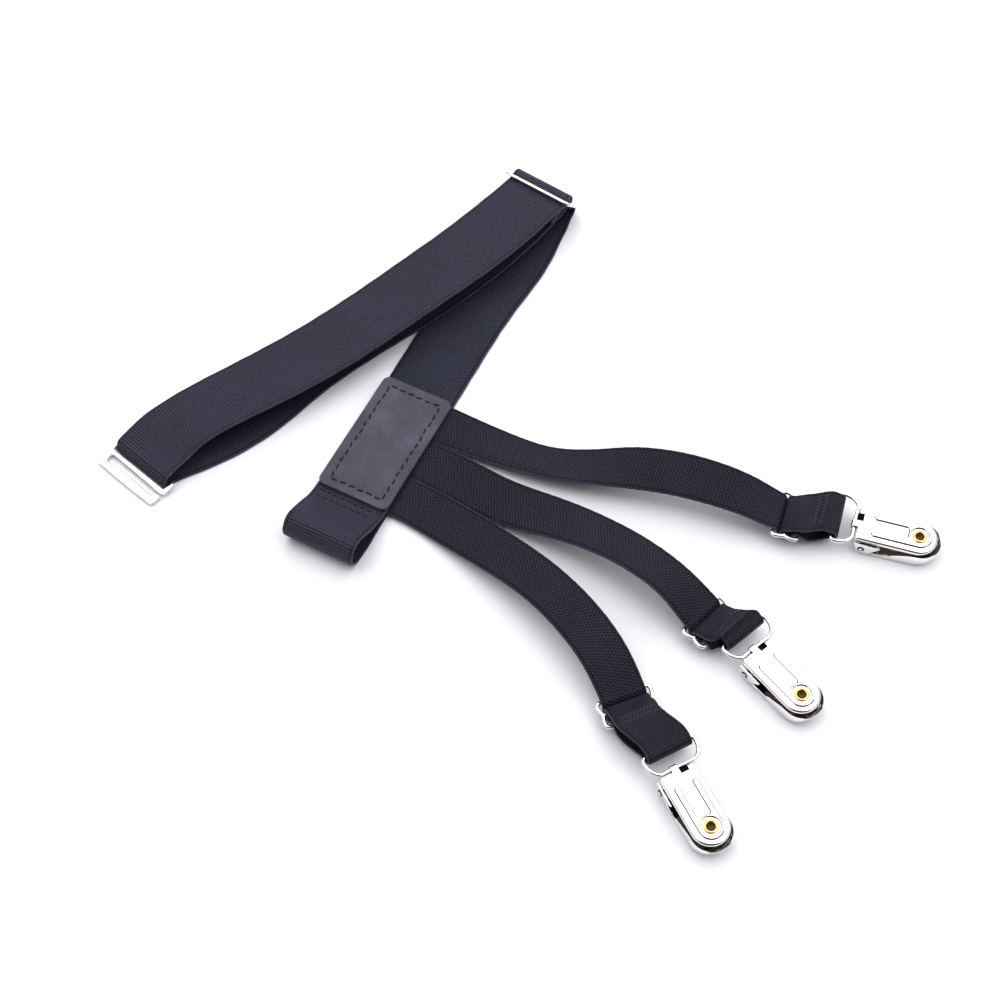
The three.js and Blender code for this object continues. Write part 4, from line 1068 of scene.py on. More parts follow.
@dataclass
class Slider:
    """A three-bar slider of round wire: a bowed frame with a bar across its middle."""

    web: float
    bow: float
    rows: tuple[tuple[float, float], ...] = (
        (0, -1.1), (0.12, 0.7), (0.5, 1), (0.86, 0.35), (1, 0),
        (1.14, 0.35), (1.5, 1), (1.88, 0.7), (2, -1.1),
    )

    def build(self, name: str, node: str, place: np.ndarray, heading: float, tilt: float, bank: float,
              finish: bpy.types.Material) -> None:
        """Makes the slider, with its first bar's middle at the place."""
        waist = self.web / 2 + GAP + WIRE_RADIUS
        half = [(along * BAR_PITCH, waist + out * (self.bow - WIRE_RADIUS)) for along, out in self.rows]
        bars = [(0, self.web * share) for share in (0.1, 0.3)]
        ends = [(2 * BAR_PITCH, self.web * share) for share in (0.3, 0.1)]
        side = np.array([*bars, *half, *ends])
        loop = np.concatenate([side, side[::-1] * [1, -1]])
        line = ring_line(np.concatenate([loop, np.zeros((len(loop), 1))], axis=1), 0.45)
        frame = swept(line, UP, round_section(WIRE_RADIUS), True)
        bar = np.stack([np.full(40, BAR_PITCH), np.linspace(-waist, waist, 40), np.zeros(40)], axis=-1)
        points, faces = joined([frame, swept(bar, UP, round_section(WIRE_RADIUS), False)])
        place_piece(name, node, points, faces, place, heading, tilt, bank, finish, STAY)


def turn_matrix(heading: float, tilt: float, bank: float) -> np.ndarray:
    """Rotation by the bank about x, then the tilt about y, then the heading about z."""
    a, b, c = np.radians([bank, tilt, heading])
    about_x = np.array([[1, 0, 0], [0, np.cos(a), -np.sin(a)], [0, np.sin(a), np.cos(a)]])
    about_y = np.array([[np.cos(b), 0, np.sin(b)], [0, 1, 0], [-np.sin(b), 0, np.cos(b)]])
    about_z = np.array([[np.cos(c), -np.sin(c), 0], [np.sin(c), np.cos(c), 0], [0, 0, 1]])
    return about_z @ about_y @ about_x


def place_piece(name: str, node: str | tuple[str, ...], points: np.ndarray, faces: list, place: np.ndarray,
                heading: float, tilt: float, bank: float, finish: bpy.types.Material, body: str,
                sharp: float = 180.0) -> bpy.types.Object:
    """Turns and moves local points to their place and makes the piece."""
    nodes = (node,) if isinstance(node, str) else node
    world = points @ turn_matrix(heading, tilt, bank).T + place
    return SHOP.piece(name, world, faces, finish, body, nodes, sharp=sharp)


@dataclass
class Hook:
    """The flat hook: a closed frame in the band's fold and an arm that is open to the end loop."""

    band: ThighBand
    bar: float = 2.3
    length: float = 34.4
    web_slot: float = 2.2
    end: float = 1.7
    edge: float = 0.5  # radius of the pressed edge
    # distance out in shares of the hook's depth, along in shares of half its length, corner in mm
    rows: tuple[tuple[float, float, float], ...] = (
        (-0.093, -1, 1.5), (0.97, -1, 1.9), (1.0, 0, 6), (0.97, 0.965, 1.7), (0.53, 0.965, 0.9),
        (0.53, 0.83, 0.7), (0.71, 0.83, 1.2), (0.66, 0, 6), (0.75, -0.84, 1.7), (0.435, -0.84, 1.3),
        (0.44, 0, 5), (0.475, 0.9, 1.4), (0.4, 1.02, 1.2), (-0.093, 1.02, 1.6),
    )

    def build(self) -> None:
        """Presses the hook from its outline and the webbing's slot."""
        half = self.length / 2
        outline = rounded([(out * self.band.hook_depth, along * half, corner)
                           for out, along, corner in self.rows], 9)
        inner = self.bar / 2
        reach = half - self.end
        slot = rounded([(inner, -reach, 0.5), (inner, reach, 0.5), (inner + self.web_slot, reach, 0.5),
                        (inner + self.web_slot, -reach, 0.5)], 5)
        points, faces = pressed_sheet([outline, slot], self.band.hook_thick, self.edge)
        tilt = math.degrees(math.asin((self.band.hook_height - self.band.hook_thick / 2 - FLOOR_GAP)
                                      / self.band.hook_depth))
        place = self.band.hook_plan * [1, 1, 0] + UP * self.band.hook_height
        place_piece("hook_pressed", "hook", points, faces, place, self.band.hook_heading, tilt, 0.0,
                    self.band.finishes.nickel, STAY, sharp=CREASE)


def pressed_sheet(outlines: list[np.ndarray], thick: float, edge: float,
                  steps: int = 3) -> tuple[np.ndarray, list]:
    """A sheet with round edges, filled between an outline and its holes, with its middle at z = 0.

    Args:
        outlines: The outline and then its holes.
        thick: Thickness.
        edge: Radius of its edges.
        steps: Steps of the rounding, or 0 for a plain chamfer.

    Returns:
        Points and faces.
    """
    curve = bpy.data.curves.new("sheet", "CURVE")
    curve.dimensions, curve.fill_mode = "2D", "BOTH"
    curve.extrude = max(thick / 2 - edge, 0.0)
    curve.bevel_depth, curve.bevel_resolution, curve.offset = edge, steps, -edge
    for outline in outlines:
        spline = curve.splines.new("POLY")
        spline.points.add(len(outline) - 1)
        rows = np.concatenate([outline, np.zeros((len(outline), 1)), np.ones((len(outline), 1))], axis=1)
        spline.points.foreach_set("co", rows.astype(np.float32).ravel())
        spline.use_cyclic_u = True
    thing = bpy.data.objects.new("sheet", curve)
    mesh = thing.to_mesh()
    points = np.zeros(len(mesh.vertices) * 3)
    mesh.vertices.foreach_get("co", points)
    faces = [list(face.vertices) for face in mesh.polygons]
    thing.to_mesh_clear()
    bpy.data.objects.remove(thing)
    bpy.data.curves.remove(curve)
    return points.reshape(-1, 3), faces


@dataclass
class Patch:
    """The leather patch, sewn over the webbing's ends."""

    finishes: Finishes
    thick: float = 1.5
    corner: float = 3.4
    inset: float = 4.3
    pitch: float = 4.1

    @staticmethod
    def under(along: float) -> float:
        """Height of the patch's underside, which rises towards its lower edge over the layers there."""
        low = WEB_FLOOR + WEB_THICK / 2 + GAP + WEB_THICK + GAP
        return low + (PATCH_LENGTH / 2 - along) * LAYER_STEP / PATCH_LENGTH

    def dip(self, x: np.ndarray, y: np.ndarray) -> np.ndarray:
        """The stitch line's pull on the leather: a soft trough along a rectangle."""
        to_side = np.abs(np.abs(y) - (PATCH_WIDTH / 2 - self.inset))
        to_end = np.abs(np.abs(x) - (PATCH_LENGTH / 2 - self.inset))
        beyond_x = np.maximum(np.abs(x) - (PATCH_LENGTH / 2 - self.inset), 0)
        beyond_y = np.maximum(np.abs(y) - (PATCH_WIDTH / 2 - self.inset), 0)
        distance = np.minimum(np.hypot(to_side, beyond_x), np.hypot(to_end, beyond_y))
        sag = 0.12 * np.sin(x * 0.19) * np.cos(y * 0.16)
        return -0.32 * np.exp(-((distance / 1.1) ** 2)) + sag

    def build(self) -> None:
        """Makes the leather and its stitches."""
        half = half_outline(-PATCH_LENGTH / 2, PATCH_LENGTH / 2, PATCH_WIDTH / 2, self.corner, self.corner,
                            0.55)
        lip = 0.45
        seam = self.thick * 0.45  # between the two plies
        wall = [Rib(lip, self.thick, 1), Rib(lip * 0.3, self.thick - 0.12, 0.7),
                Rib(0, self.thick - lip, 0.3), Rib(0, seam + 0.2), Rib(0.24, seam + 0.06),
                Rib(0.24, seam - 0.06), Rib(0, seam - 0.2),
                Rib(0, 0.25), Rib(lip * 0.4, 0.06), Rib(lip, 0)]
        reach = PATCH_LENGTH / 2 - PATCH_WIDTH / 2
        points, faces = plate(half, (-reach, reach), wall, self.thick, 0.0, self.dip, 44)
        lean = math.degrees(math.atan(LAYER_STEP / PATCH_LENGTH))
        points[:, 2] = np.maximum(points[:, 2], -0.02)
        place = UP * self.under(0.0)
        place_piece("leather_patch_grained", "leather_patch", points, faces, place, PATCH_HEADING, lean, 0.0,
                    self.finishes.leather, STAY)
        self.stitch(place, lean)

    def stitch(self, place: np.ndarray, tilt: float) -> None:
        """One row of stitches round the rectangle, sunk in the trough."""
        x, y = PATCH_LENGTH / 2 - self.inset, PATCH_WIDTH / 2 - self.inset
        middles, directions = [], []
        for start, end in (((-x, -y), (x, -y)), ((x, -y), (x, y)), ((x, y), (-x, y)), ((-x, y), (-x, -y))):
            a, b = np.array(start), np.array(end)
            length = np.linalg.norm(b - a)
            count = round(length / self.pitch)
            share = (np.arange(count) + 0.5) / count
            middles.append(a + (b - a) * share[:, None])
            directions.append(np.tile((b - a) / length, (count, 1)))
        plan, heading = np.concatenate(middles), np.concatenate(directions)
        height = self.thick + self.dip(plan[:, 0], plan[:, 1]) + 0.02
        count = np.arange(len(plan))
        # a hand-guided seam, up to 0.26 mm off its line
        wander = 0.16 * np.sin(count * 2.3) + 0.1 * np.sin(count * 5.1)
        lean = np.radians(7 + 8 * np.sin(count * 1.7))
        side = np.stack([-heading[:, 1], heading[:, 0]], axis=-1)
        spots = np.concatenate([plan + side * wander[:, None], height[:, None]], axis=1)
        line = heading * np.cos(lean)[:, None] + side * np.sin(lean)[:, None]
        along = np.concatenate([line, np.zeros((len(line), 1))], axis=1)
        points, faces = stitches(spots, along, np.tile(UP, (len(spots), 1)), 3.3, 0.34)
        place_piece("patch_stitches", (), points, faces, place, PATCH_HEADING, tilt, 0.0,
                    self.finishes.thread, STAY)


# Straps and clips

@dataclass
class Clip:
    """A garter clip on its ring. Local origin on the ring's inner bar, x towards the tip, z up."""

    number: int
    finishes: Finishes
    width: float = 16.0
    length: float = 34.5
    sheet: float = 0.6
    rim_depth: float = 2.2
    rim_round: float = 1.1
    back: float = 1.0
    tab_width: float = 3.0
    tab_offset: float = -0.6
    notch: float = 3.6
    rib_width: float = 2.6
    rib_reach: float = 5.35  # from the middle line to the ribs' outer side
    rib_height: float = 0.6
    rib_start: float = 7.2
    eyelet_place: float = 27.0
    eyelet_radius: float = 3.0
    eyelet_bore: float = 1.65
    eyelet_wall: float = 0.35
    pivot: tuple[float, float] = (4.8, -4.2)
    pin_radius: float = 1.0
    jaw_start: float = 2.16  # from the pivot to the jaw's back edge
    jaw_length: float = 36.4
    jaw_depth: float = 8.0
    tip_drop: float = 3.4
    mouth_top: float = -0.75  # where the jaw's rim ends at its tip, beside the plate's rim
    pad_length: float = 20.0
    pad_thick: float = 2.0

    def __post_init__(self) -> None:
        """Heights that follow from the wire and the sheet."""
        self.top = WIRE_RADIUS + GAP + self.sheet
        self.low = self.top - self.sheet
        self.pad_high = self.low - GAP
        self.pad_low = self.pad_high - self.pad_thick
        joint = SHOP.joints[f"clip_swing_{self.number}"]
        self.place = np.array(joint["pos_m"]) / MM - SHOP.shift
        axis = np.array(joint["axis"])
        self.heading = math.degrees(math.atan2(-axis[0], axis[1]))

    def put(self, name: str, nodes: tuple[str, ...], points: np.ndarray, faces: list,
            finish: bpy.types.Material, body: str, slot: str, sharp: float = 180.0) -> bpy.types.Object:
        """Places one of the clip's pieces."""
        return place_piece(f"{name}_{self.number}", nodes, points, faces, self.place, self.heading, 0.0, 0.0,
                           finish, f"{body}_{self.number}", sharp)

    def ribs(self) -> None:
        """The raised U round the eyelet, with a plain tongue between its legs."""
        outer, inner = self.rib_reach, self.rib_reach - self.rib_width
        turn = np.radians(np.linspace(90.0, -90.0, 34))
        nose = np.stack([self.eyelet_place + outer * np.cos(turn), outer * np.sin(turn)], axis=-1)
        start, leg = self.rib_start, self.rib_width / 2
        feet = []
        for side in (-1, 1):
            foot = np.radians(np.linspace(-90.0, -270.0, 14) if side < 0 else np.linspace(270.0, 90.0, 14))
            middle = (start + leg, side * (outer - leg))
            feet.append(np.stack([middle[0] + leg * np.cos(foot), middle[1] + leg * np.sin(foot)], axis=-1))
        tongue_end = self.eyelet_place - self.eyelet_radius - 1.9
        tongue = rounded([(start + leg, -inner, 0.1), (tongue_end, -inner, 1.1), (tongue_end, inner, 1.1),
                          (start + leg, inner, 0.1)], 7)[7:21]
        outline = np.concatenate([nose, feet[0], tongue, feet[1]])
        bore = np.radians(np.linspace(0.0, 360.0, 48, endpoint=False))
        recess = self.eyelet_radius + 0.8
        hole = np.stack([self.eyelet_place + recess * np.cos(bore), recess * np.sin(bore)], axis=-1)
        points, faces = pressed_sheet([outline, hole], self.rib_height * 2, 0.48, 0)
        points[:, 2] += self.top
        self.put("clip_ribs_pressed", (), points, faces, self.finishes.nickel, "clip", "nickel", CREASE)

    def plate_piece(self) -> None:
        """The upper plate: pressed sheet, rim turned down, tab rolled round the ring's bar, lugs."""
        half = self.width / 2
        line = half_outline(self.back, self.length, half, 0.9, half * 0.98, 0.34)
        r, sheet = self.rim_round, self.sheet
        turn = np.radians([22.5, 45, 67.5])
        wall = [Rib(r, self.top, 1)]
        wall += [Rib(r * (1 - math.sin(t)), self.top - r * (1 - math.cos(t)), 0) for t in turn]
        wall += [Rib(0, self.top - r), Rib(0, self.top - self.rim_depth + 0.15),
                 Rib(0.12, self.top - self.rim_depth), Rib(sheet - 0.12, self.top - self.rim_depth),
                 Rib(sheet, self.top - self.rim_depth + 0.15), Rib(sheet, self.low - 0.5), Rib(r, self.low)]
        body = plate(line, (self.back + 6.0, self.length - half), wall, self.top, self.low, level, 12)
        main = self.put("clip_plate_pressed", (f"clip_plate_{self.number}",), *body, self.finishes.nickel,
                        "clip", "nickel")
        notch_side = self.tab_offset + self.tab_width / 2 + self.notch / 2
        self.cut(main, (self.back + 0.7, notch_side, self.top), (3.0, self.notch, 3.2))
        self.cut(main, (self.back - 0.5, 0.0, self.top - self.rim_depth), (3.4, self.width - 1.4, 2.6))
        self.cut_round(main, self.eyelet_place, self.eyelet_bore + self.eyelet_wall + 0.1)
        turn = np.radians(np.linspace(75.0, 395.0, 40))
        middle = (self.top + self.low) / 2
        roll = np.stack([middle * np.cos(turn), np.full(40, self.tab_offset), middle * np.sin(turn)], axis=-1)
        lead = np.array([[self.back + 1.4, self.tab_offset, middle], [self.back, self.tab_offset, middle]])
        line = np.concatenate([lead, roll])
        tab = swept(line, np.array([0.0, 1.0, 0.0]), bar_section(sheet, self.tab_width, 0.14), False)
        lugs = [self.lug(side * (half - self.sheet / 2)) for side in (-1, 1)]
        self.put("clip_tab_rolled", (), *joined([tab, *lugs]), self.finishes.nickel, "clip", "nickel", 35.0)

    def lug(self, y: float) -> tuple[np.ndarray, list]:
        """One of the two lugs under the plate's rim that hold the pivot pin."""
        px, pz = self.pivot
        corners = [(self.back + 0.6, self.low, 0.4), (px - 2.4, pz - 0.4, 1.4), (px, pz - 2.6, 1.6),
                   (px + 2.4, pz - 0.4, 1.4), (px + 6.2, self.top - self.rim_depth, 0.8),
                   (px + 6.2, self.low, 0.3)]
        points, faces = pressed_sheet([rounded(corners, 6)], self.sheet, 0.1)
        return np.stack([points[:, 0], y + points[:, 2], points[:, 1]], axis=-1), faces

    def cut(self, thing: bpy.types.Object, centre: tuple[float, float, float],
            size: tuple[float, float, float]) -> None:
        """Cuts a box out of a piece."""
        corners = np.array([[x, y, z] for x in (-0.5, 0.5) for y in (-0.5, 0.5) for z in (-0.5, 0.5)])
        faces = [(0, 1, 3, 2), (4, 6, 7, 5), (0, 4, 5, 1), (2, 3, 7, 6), (0, 2, 6, 4), (1, 5, 7, 3)]
        self.subtract(thing, corners * size + centre, faces)

    def cut_round(self, thing: bpy.types.Object, x: float, radius: float) -> None:
        """Cuts an upright bore through a piece."""
        turn = np.linspace(0.0, 2 * np.pi, 40, endpoint=False)
        rings = [np.stack([x + radius * np.cos(turn), radius * np.sin(turn), np.full(40, z)], axis=-1)
                 for z in (-6.0, 6.0)]
        self.subtract(thing, np.concatenate(rings), grid_faces(2, 40, False, True, True))

    def subtract(self, thing: bpy.types.Object, points: np.ndarray, faces: list) -> None:
        """Takes a closed body in the clip's own place away from a piece."""
        world = points @ turn_matrix(self.heading, 0.0, 0.0).T + self.place + SHOP.shift
        mesh = bpy.data.meshes.new("cutter")
        mesh.from_pydata((world * MM).tolist(), [], [list(face) for face in faces])
        work = bmesh.new()
        work.from_mesh(mesh)
        bmesh.ops.recalc_face_normals(work, faces=work.faces)
        work.to_mesh(mesh)
        work.free()
        cutter = bpy.data.objects.new("cutter", mesh)
        bpy.context.scene.collection.objects.link(cutter)
        modifier = thing.modifiers.new("cut", "BOOLEAN")
        modifier.operation = "DIFFERENCE"
        modifier.solver = "EXACT"
        modifier.object = cutter
        bpy.context.view_layer.update()
        shape = bpy.data.meshes.new_from_object(thing.evaluated_get(bpy.context.evaluated_depsgraph_get()))
        thing.modifiers.clear()
        old = thing.data
        shape.name = old.name
        thing.data = shape
        bpy.data.meshes.remove(old)
        bpy.data.objects.remove(cutter)
        shape.set_sharp_from_angle(angle=math.radians(40))

    def eyelet(self) -> None:
        """A turned brass eyelet with a rolled upper flange and a closed foot, painted dark brown as the shade
        in its bore.
        """
        bore, outer = self.eyelet_bore, self.eyelet_bore + self.eyelet_wall
        high, low = self.top + 0.1, self.pad_low + FLOOR_GAP
        lip = np.linspace(np.pi, -0.15 * np.pi, 12)
        reach = (self.eyelet_radius - bore) / 2
        roll = np.stack([bore + reach + reach * np.cos(lip), high + 0.62 * np.sin(lip)], axis=-1)
        barrel = np.array([(outer, high), (outer, self.low - 0.2), (bore, self.low - 0.2)])
        points, faces = turned(np.concatenate([roll, barrel]))
        place = [self.eyelet_place, 0, 0]
        self.put("eyelet_rolled", (f"eyelet_{self.number}",), points + place, faces, self.finishes.brass,
                 "clip", "brass")
        # the foot is dark brown brass: painted shade that keeps the bore dark
        foot = np.array([(outer, self.low - 0.25), (outer, low + 0.45), (outer + 0.9, low + 0.4),
                         (outer + 0.9, low), (0, low), (0, low + 1.1), (bore - 0.5, low + 1.2),
                         (bore, self.low - 0.25)])
        points, faces = turned(foot)
        self.put("eyelet_foot_turned", (), points + place, faces, self.finishes.bore_shade_brass, "clip", "brass")

    def pad(self) -> None:
        """The soft pad inside the plate, with cross ridges on its underside."""
        half = self.width / 2 - self.sheet - GAP
        tip = self.length - self.sheet - GAP
        line = half_outline(tip - self.pad_length, tip, half, 0.8, half * 0.97, 0.5)
        wall = [Rib(0.3, self.pad_high, 0), Rib(0, self.pad_high - 0.3), Rib(0, self.pad_low + 0.4),
                Rib(0.15, self.pad_low + 0.12), Rib(0.5, self.pad_low)]

        def ridges(x: np.ndarray, y: np.ndarray) -> np.ndarray:
            """Shallow ridges, a sine along the pad, that fade out at its sides."""
            return -0.14 * (np.sin(x * 2 * np.pi / 1.6) + 1) * ease(half - 0.6 - np.abs(y), 0, 0.8)

        spine = (tip - self.pad_length + half, tip - half)
        points, faces = plate(line, spine, wall, self.pad_high, self.pad_low, ridges, 16)
        points[:, 2] = np.minimum(points[:, 2], self.pad_high)
        pad = self.put("grip_pad_moulded", (f"grip_pad_{self.number}",), points, faces, self.finishes.vinyl,
                       "clip", "clear_grip")
        self.cut_round(pad, self.eyelet_place, self.eyelet_bore + 1.55)

    def jaw_floor(self, x: np.ndarray) -> np.ndarray:
        """Height of the jaw's underside along its length: down to the belly and up to the tip."""
        start = self.pivot[0] + self.jaw_start
        back = self.pivot[1] - 2.4 - GAP - self.sheet
        belly = FLOOR_GAP - self.jaw_depth
        rise = -self.tip_drop - belly
        share = np.array([0.0, 0.18, 0.3, 0.48, 0.66, 0.84, 1.0])
        rows = np.array([back, back + (belly - back) * 0.85, belly, belly, belly + rise * 0.16,
                         belly + rise * 0.5, -self.tip_drop])
        at = np.clip((x - start) / (self.jaw_length - start), 0, 1)
        return through(share, rows, at.ravel()).reshape(x.shape)

    def jaw(self) -> None:
        """The lower jaw: a dished sheet with a turned-up edge, two ears and the pivot pin."""
        outer = self.width / 2 + GAP + self.sheet
        start = self.pivot[0] + self.jaw_start
        line = half_outline(start, self.jaw_length, outer, 1.2, outer * 0.97, 0.4)
        sheet, r, rim = self.sheet, 1.5, 1.1
        wall = [Rib(r + 0.2, sheet, 1), Rib(r * 0.62, sheet + 0.1, 1), Rib(sheet, sheet + 0.55, 1),
                Rib(sheet - 0.06, rim + sheet - 0.1, 1), Rib(sheet / 2, rim + sheet, 1),
                Rib(0.08, rim + sheet - 0.1, 1), Rib(0, rim, 1), Rib(r * 0.15, 0.5, 1),
                Rib(r * 0.5, 0.14, 1), Rib(r + 0.2, 0, 1)]

        def floor(x: np.ndarray, y: np.ndarray) -> np.ndarray:
            """The dished floor; y has no part in it."""
            return self.jaw_floor(x) + y * 0.0

        points, faces = plate(line, (start + 6.5, self.jaw_length - outer), wall, sheet, 0.0, floor, 24)
        base, high = self.jaw_floor(points[:, 0]), rim + sheet
        share = np.clip((points[:, 2] - base - sheet) / rim, 0.0, 1.0)
        closing = np.maximum(self.mouth_top - base - high, 0.0) * ease(points[:, 0], 9.0, 29.0)
        points[:, 2] += share * closing
        dish = (points, faces)
        ears = [self.ear(side) for side in (-1, 1)]
        self.put("jaw_pressed", (f"clip_jaw_{self.number}",), *joined([dish, *ears]), self.finishes.nickel,
                 "jaw", "nickel", 35.0)
        self.pin(outer)

    def ear(self, side: int) -> tuple[np.ndarray, list]:
        """One triangular ear at the jaw's side, flared a little, which the pin goes through."""
        corners = [(1.35, -0.8, 0.6), (12.6, -1.2, 0.5), (9.4, -5.2, 2.0), (7.8, -7.25, 1.2),
                   (3.2, -6.3, 1.8)]
        outline = rounded(corners, 7)
        points, faces = pressed_sheet([outline], self.sheet, 0.16)
        middle = self.width / 2 + GAP + self.sheet / 2
        return np.stack([points[:, 0], side * (middle - 0.05 * (points[:, 1] + 0.8)) + points[:, 2],
                         points[:, 1]], axis=-1), faces

    def pin(self, outer: float) -> None:
        """The pivot pin, whose ends stand in a near-black ring of painted shade round them in the ears."""
        reach, r = outer + 0.45, self.pin_radius
        half = [(0.0, reach - 0.1), (0.3, reach - 0.08), (0.55, reach), (0.78, reach - 0.12),
                (0.8, reach - 0.3), (r, reach - 0.36)]
        profile = np.array(half + [(radius, -height) for radius, height in reversed(half)])
        points, faces = turned(profile, 28)
        middle = np.array([self.pivot[0], 0, self.pivot[1]])
        self.put("pivot_pin_riveted", (f"pivot_pin_{self.number}",), points[:, [0, 2, 1]] + middle, faces,
                 self.finishes.nickel, "jaw", "nickel")
        # a near-black ring round each end of the pin: painted shade in the gap in the ear
        gap = np.array([(0.7, reach - 0.16), (1.5, reach - 0.22), (1.55, reach - 0.5), (0.7, reach - 0.5)])
        points, faces = turned(gap, 24)
        gaps = [(points[:, [0, 2, 1]] * [1, side, 1] + middle, faces) for side in (-1, 1)]
        self.put("pivot_pin_gap_shade", (), *joined(gaps), self.finishes.painted_shade, "jaw", "nickel")

    def painted_shade(self) -> None:
        """Black pieces painted as the shade inside the clip: a leaf under the plate and a stop under the
        notch.
        """
        leaf = np.array([(13, 0.35), (7, 0.3), (3.9, 0.05), (3.2, -1.0), (2.9, -2.4)])
        stop = np.array([(3.4, -1.0), (2.2, -1.5), (-0.4, -1.6)])
        strips = []
        for rows, middle, width in ((leaf, 0.0, 10.0), (stop, 3.8, 5.2)):
            line = smooth_line(rows, 24)
            path = np.stack([line[:, 0], np.full(len(line), middle), line[:, 1]], axis=-1)
            strips.append(swept(path, np.array([0.0, 1.0, 0.0]), bar_section(0.4, width, 0.15), False))
        # the leaf and stop are near-black: painted shade in the notch and under the plate
        self.put("clip_shade_leaf", (), *joined(strips), self.finishes.painted_shade, "clip", "nickel")

    def build(self) -> None:
        """Makes the clip's pieces."""
        self.plate_piece()
        self.ribs()
        self.eyelet()
        self.pad()
        self.painted_shade()
        self.jaw()


@dataclass
class Ring:
    """The wire ring that joins a strap to its clip, with its clip bar at the local origin."""

    strap_width: float
    reach: float = 8.7
    rows: tuple[tuple[float, float], ...] = (
        (-1, 0.25), (-1, 0.5), (-1, 0.9), (-0.9, 1.014), (-0.62, 1.027), (-0.34, 0.968), (-0.1, 0.828),
        (0, 0.692), (0, 0.382), (0, 0.15),
    )

    def build(self, name: str, node: str, place: np.ndarray, heading: float,
              finish: bpy.types.Material) -> None:
        """Sweeps round wire through the rows and their mirror image."""
        wide = self.strap_width / 2 + GAP + WIRE_RADIUS
        side = np.array([[along * self.reach, out * wide, 0.0] for along, out in self.rows])
        line = ring_line(np.concatenate([side, side[::-1] * [1, -1, 1]]), 0.4)
        points, faces = swept(line, UP, round_section(WIRE_RADIUS, 16), True)
        place_piece(name, node, points, faces, place, heading, math.degrees(math.asin(GAP / self.reach)), 0.0,
                    finish, STAY)


@dataclass(frozen=True)
class StrapShape:
    """What differs between the straps."""

    run: float
    loop: float
    loop_turn: float
    ring_turn: float
    tack: float  # how far the bartack lies from the slider, in shares of the loop
    rows: tuple[tuple[float, float, float, float], ...]


STRAPS = (
    StrapShape(151.6, 24.3, 17.6, 1.4, 0.5, (
        (0, -26.8, 0.18, 0), (0.15, -25, 0.2, 9), (0.3, -20.4, 0.29, 16), (0.45, -10, 0.59, 9.9),
        (0.6, -11.7, 0.98, -8), (0.75, -16.7, 1.12, -11.1), (0.9, -19.1, 0.95, -1.2), (1, -17.6, 0.5, 8))),
    StrapShape(141.1, 19.1, 31, -6.8, 0.45, (
        (0, -26.8, 0.18, 0), (0.15, -34, 0.3, -14), (0.3, -29.7, 0.39, -15), (0.45, -25.4, 0.72, -1.9),
        (0.6, -29.5, 0.97, 9.1), (0.75, -36, 1.09, 13.9), (0.9, -43.3, 0.97, 14), (1, -43.5, 0.5, 6))),
    StrapShape(134.5, 29.4, 17, 2.9, 0.25, (
        (0, -26.8, 0.18, 0), (0.15, -36.4, 0.32, -10.1), (0.3, -38.4, 0.56, -10.6), (0.45, -40.1, 0.8, -4.6),
        (0.6, -46.3, 0.98, -2.6), (0.75, -53.1, 1.01, -3.3), (0.9, -61.9, 0.87, 0), (1, -65.8, 0.5, 5))),
)


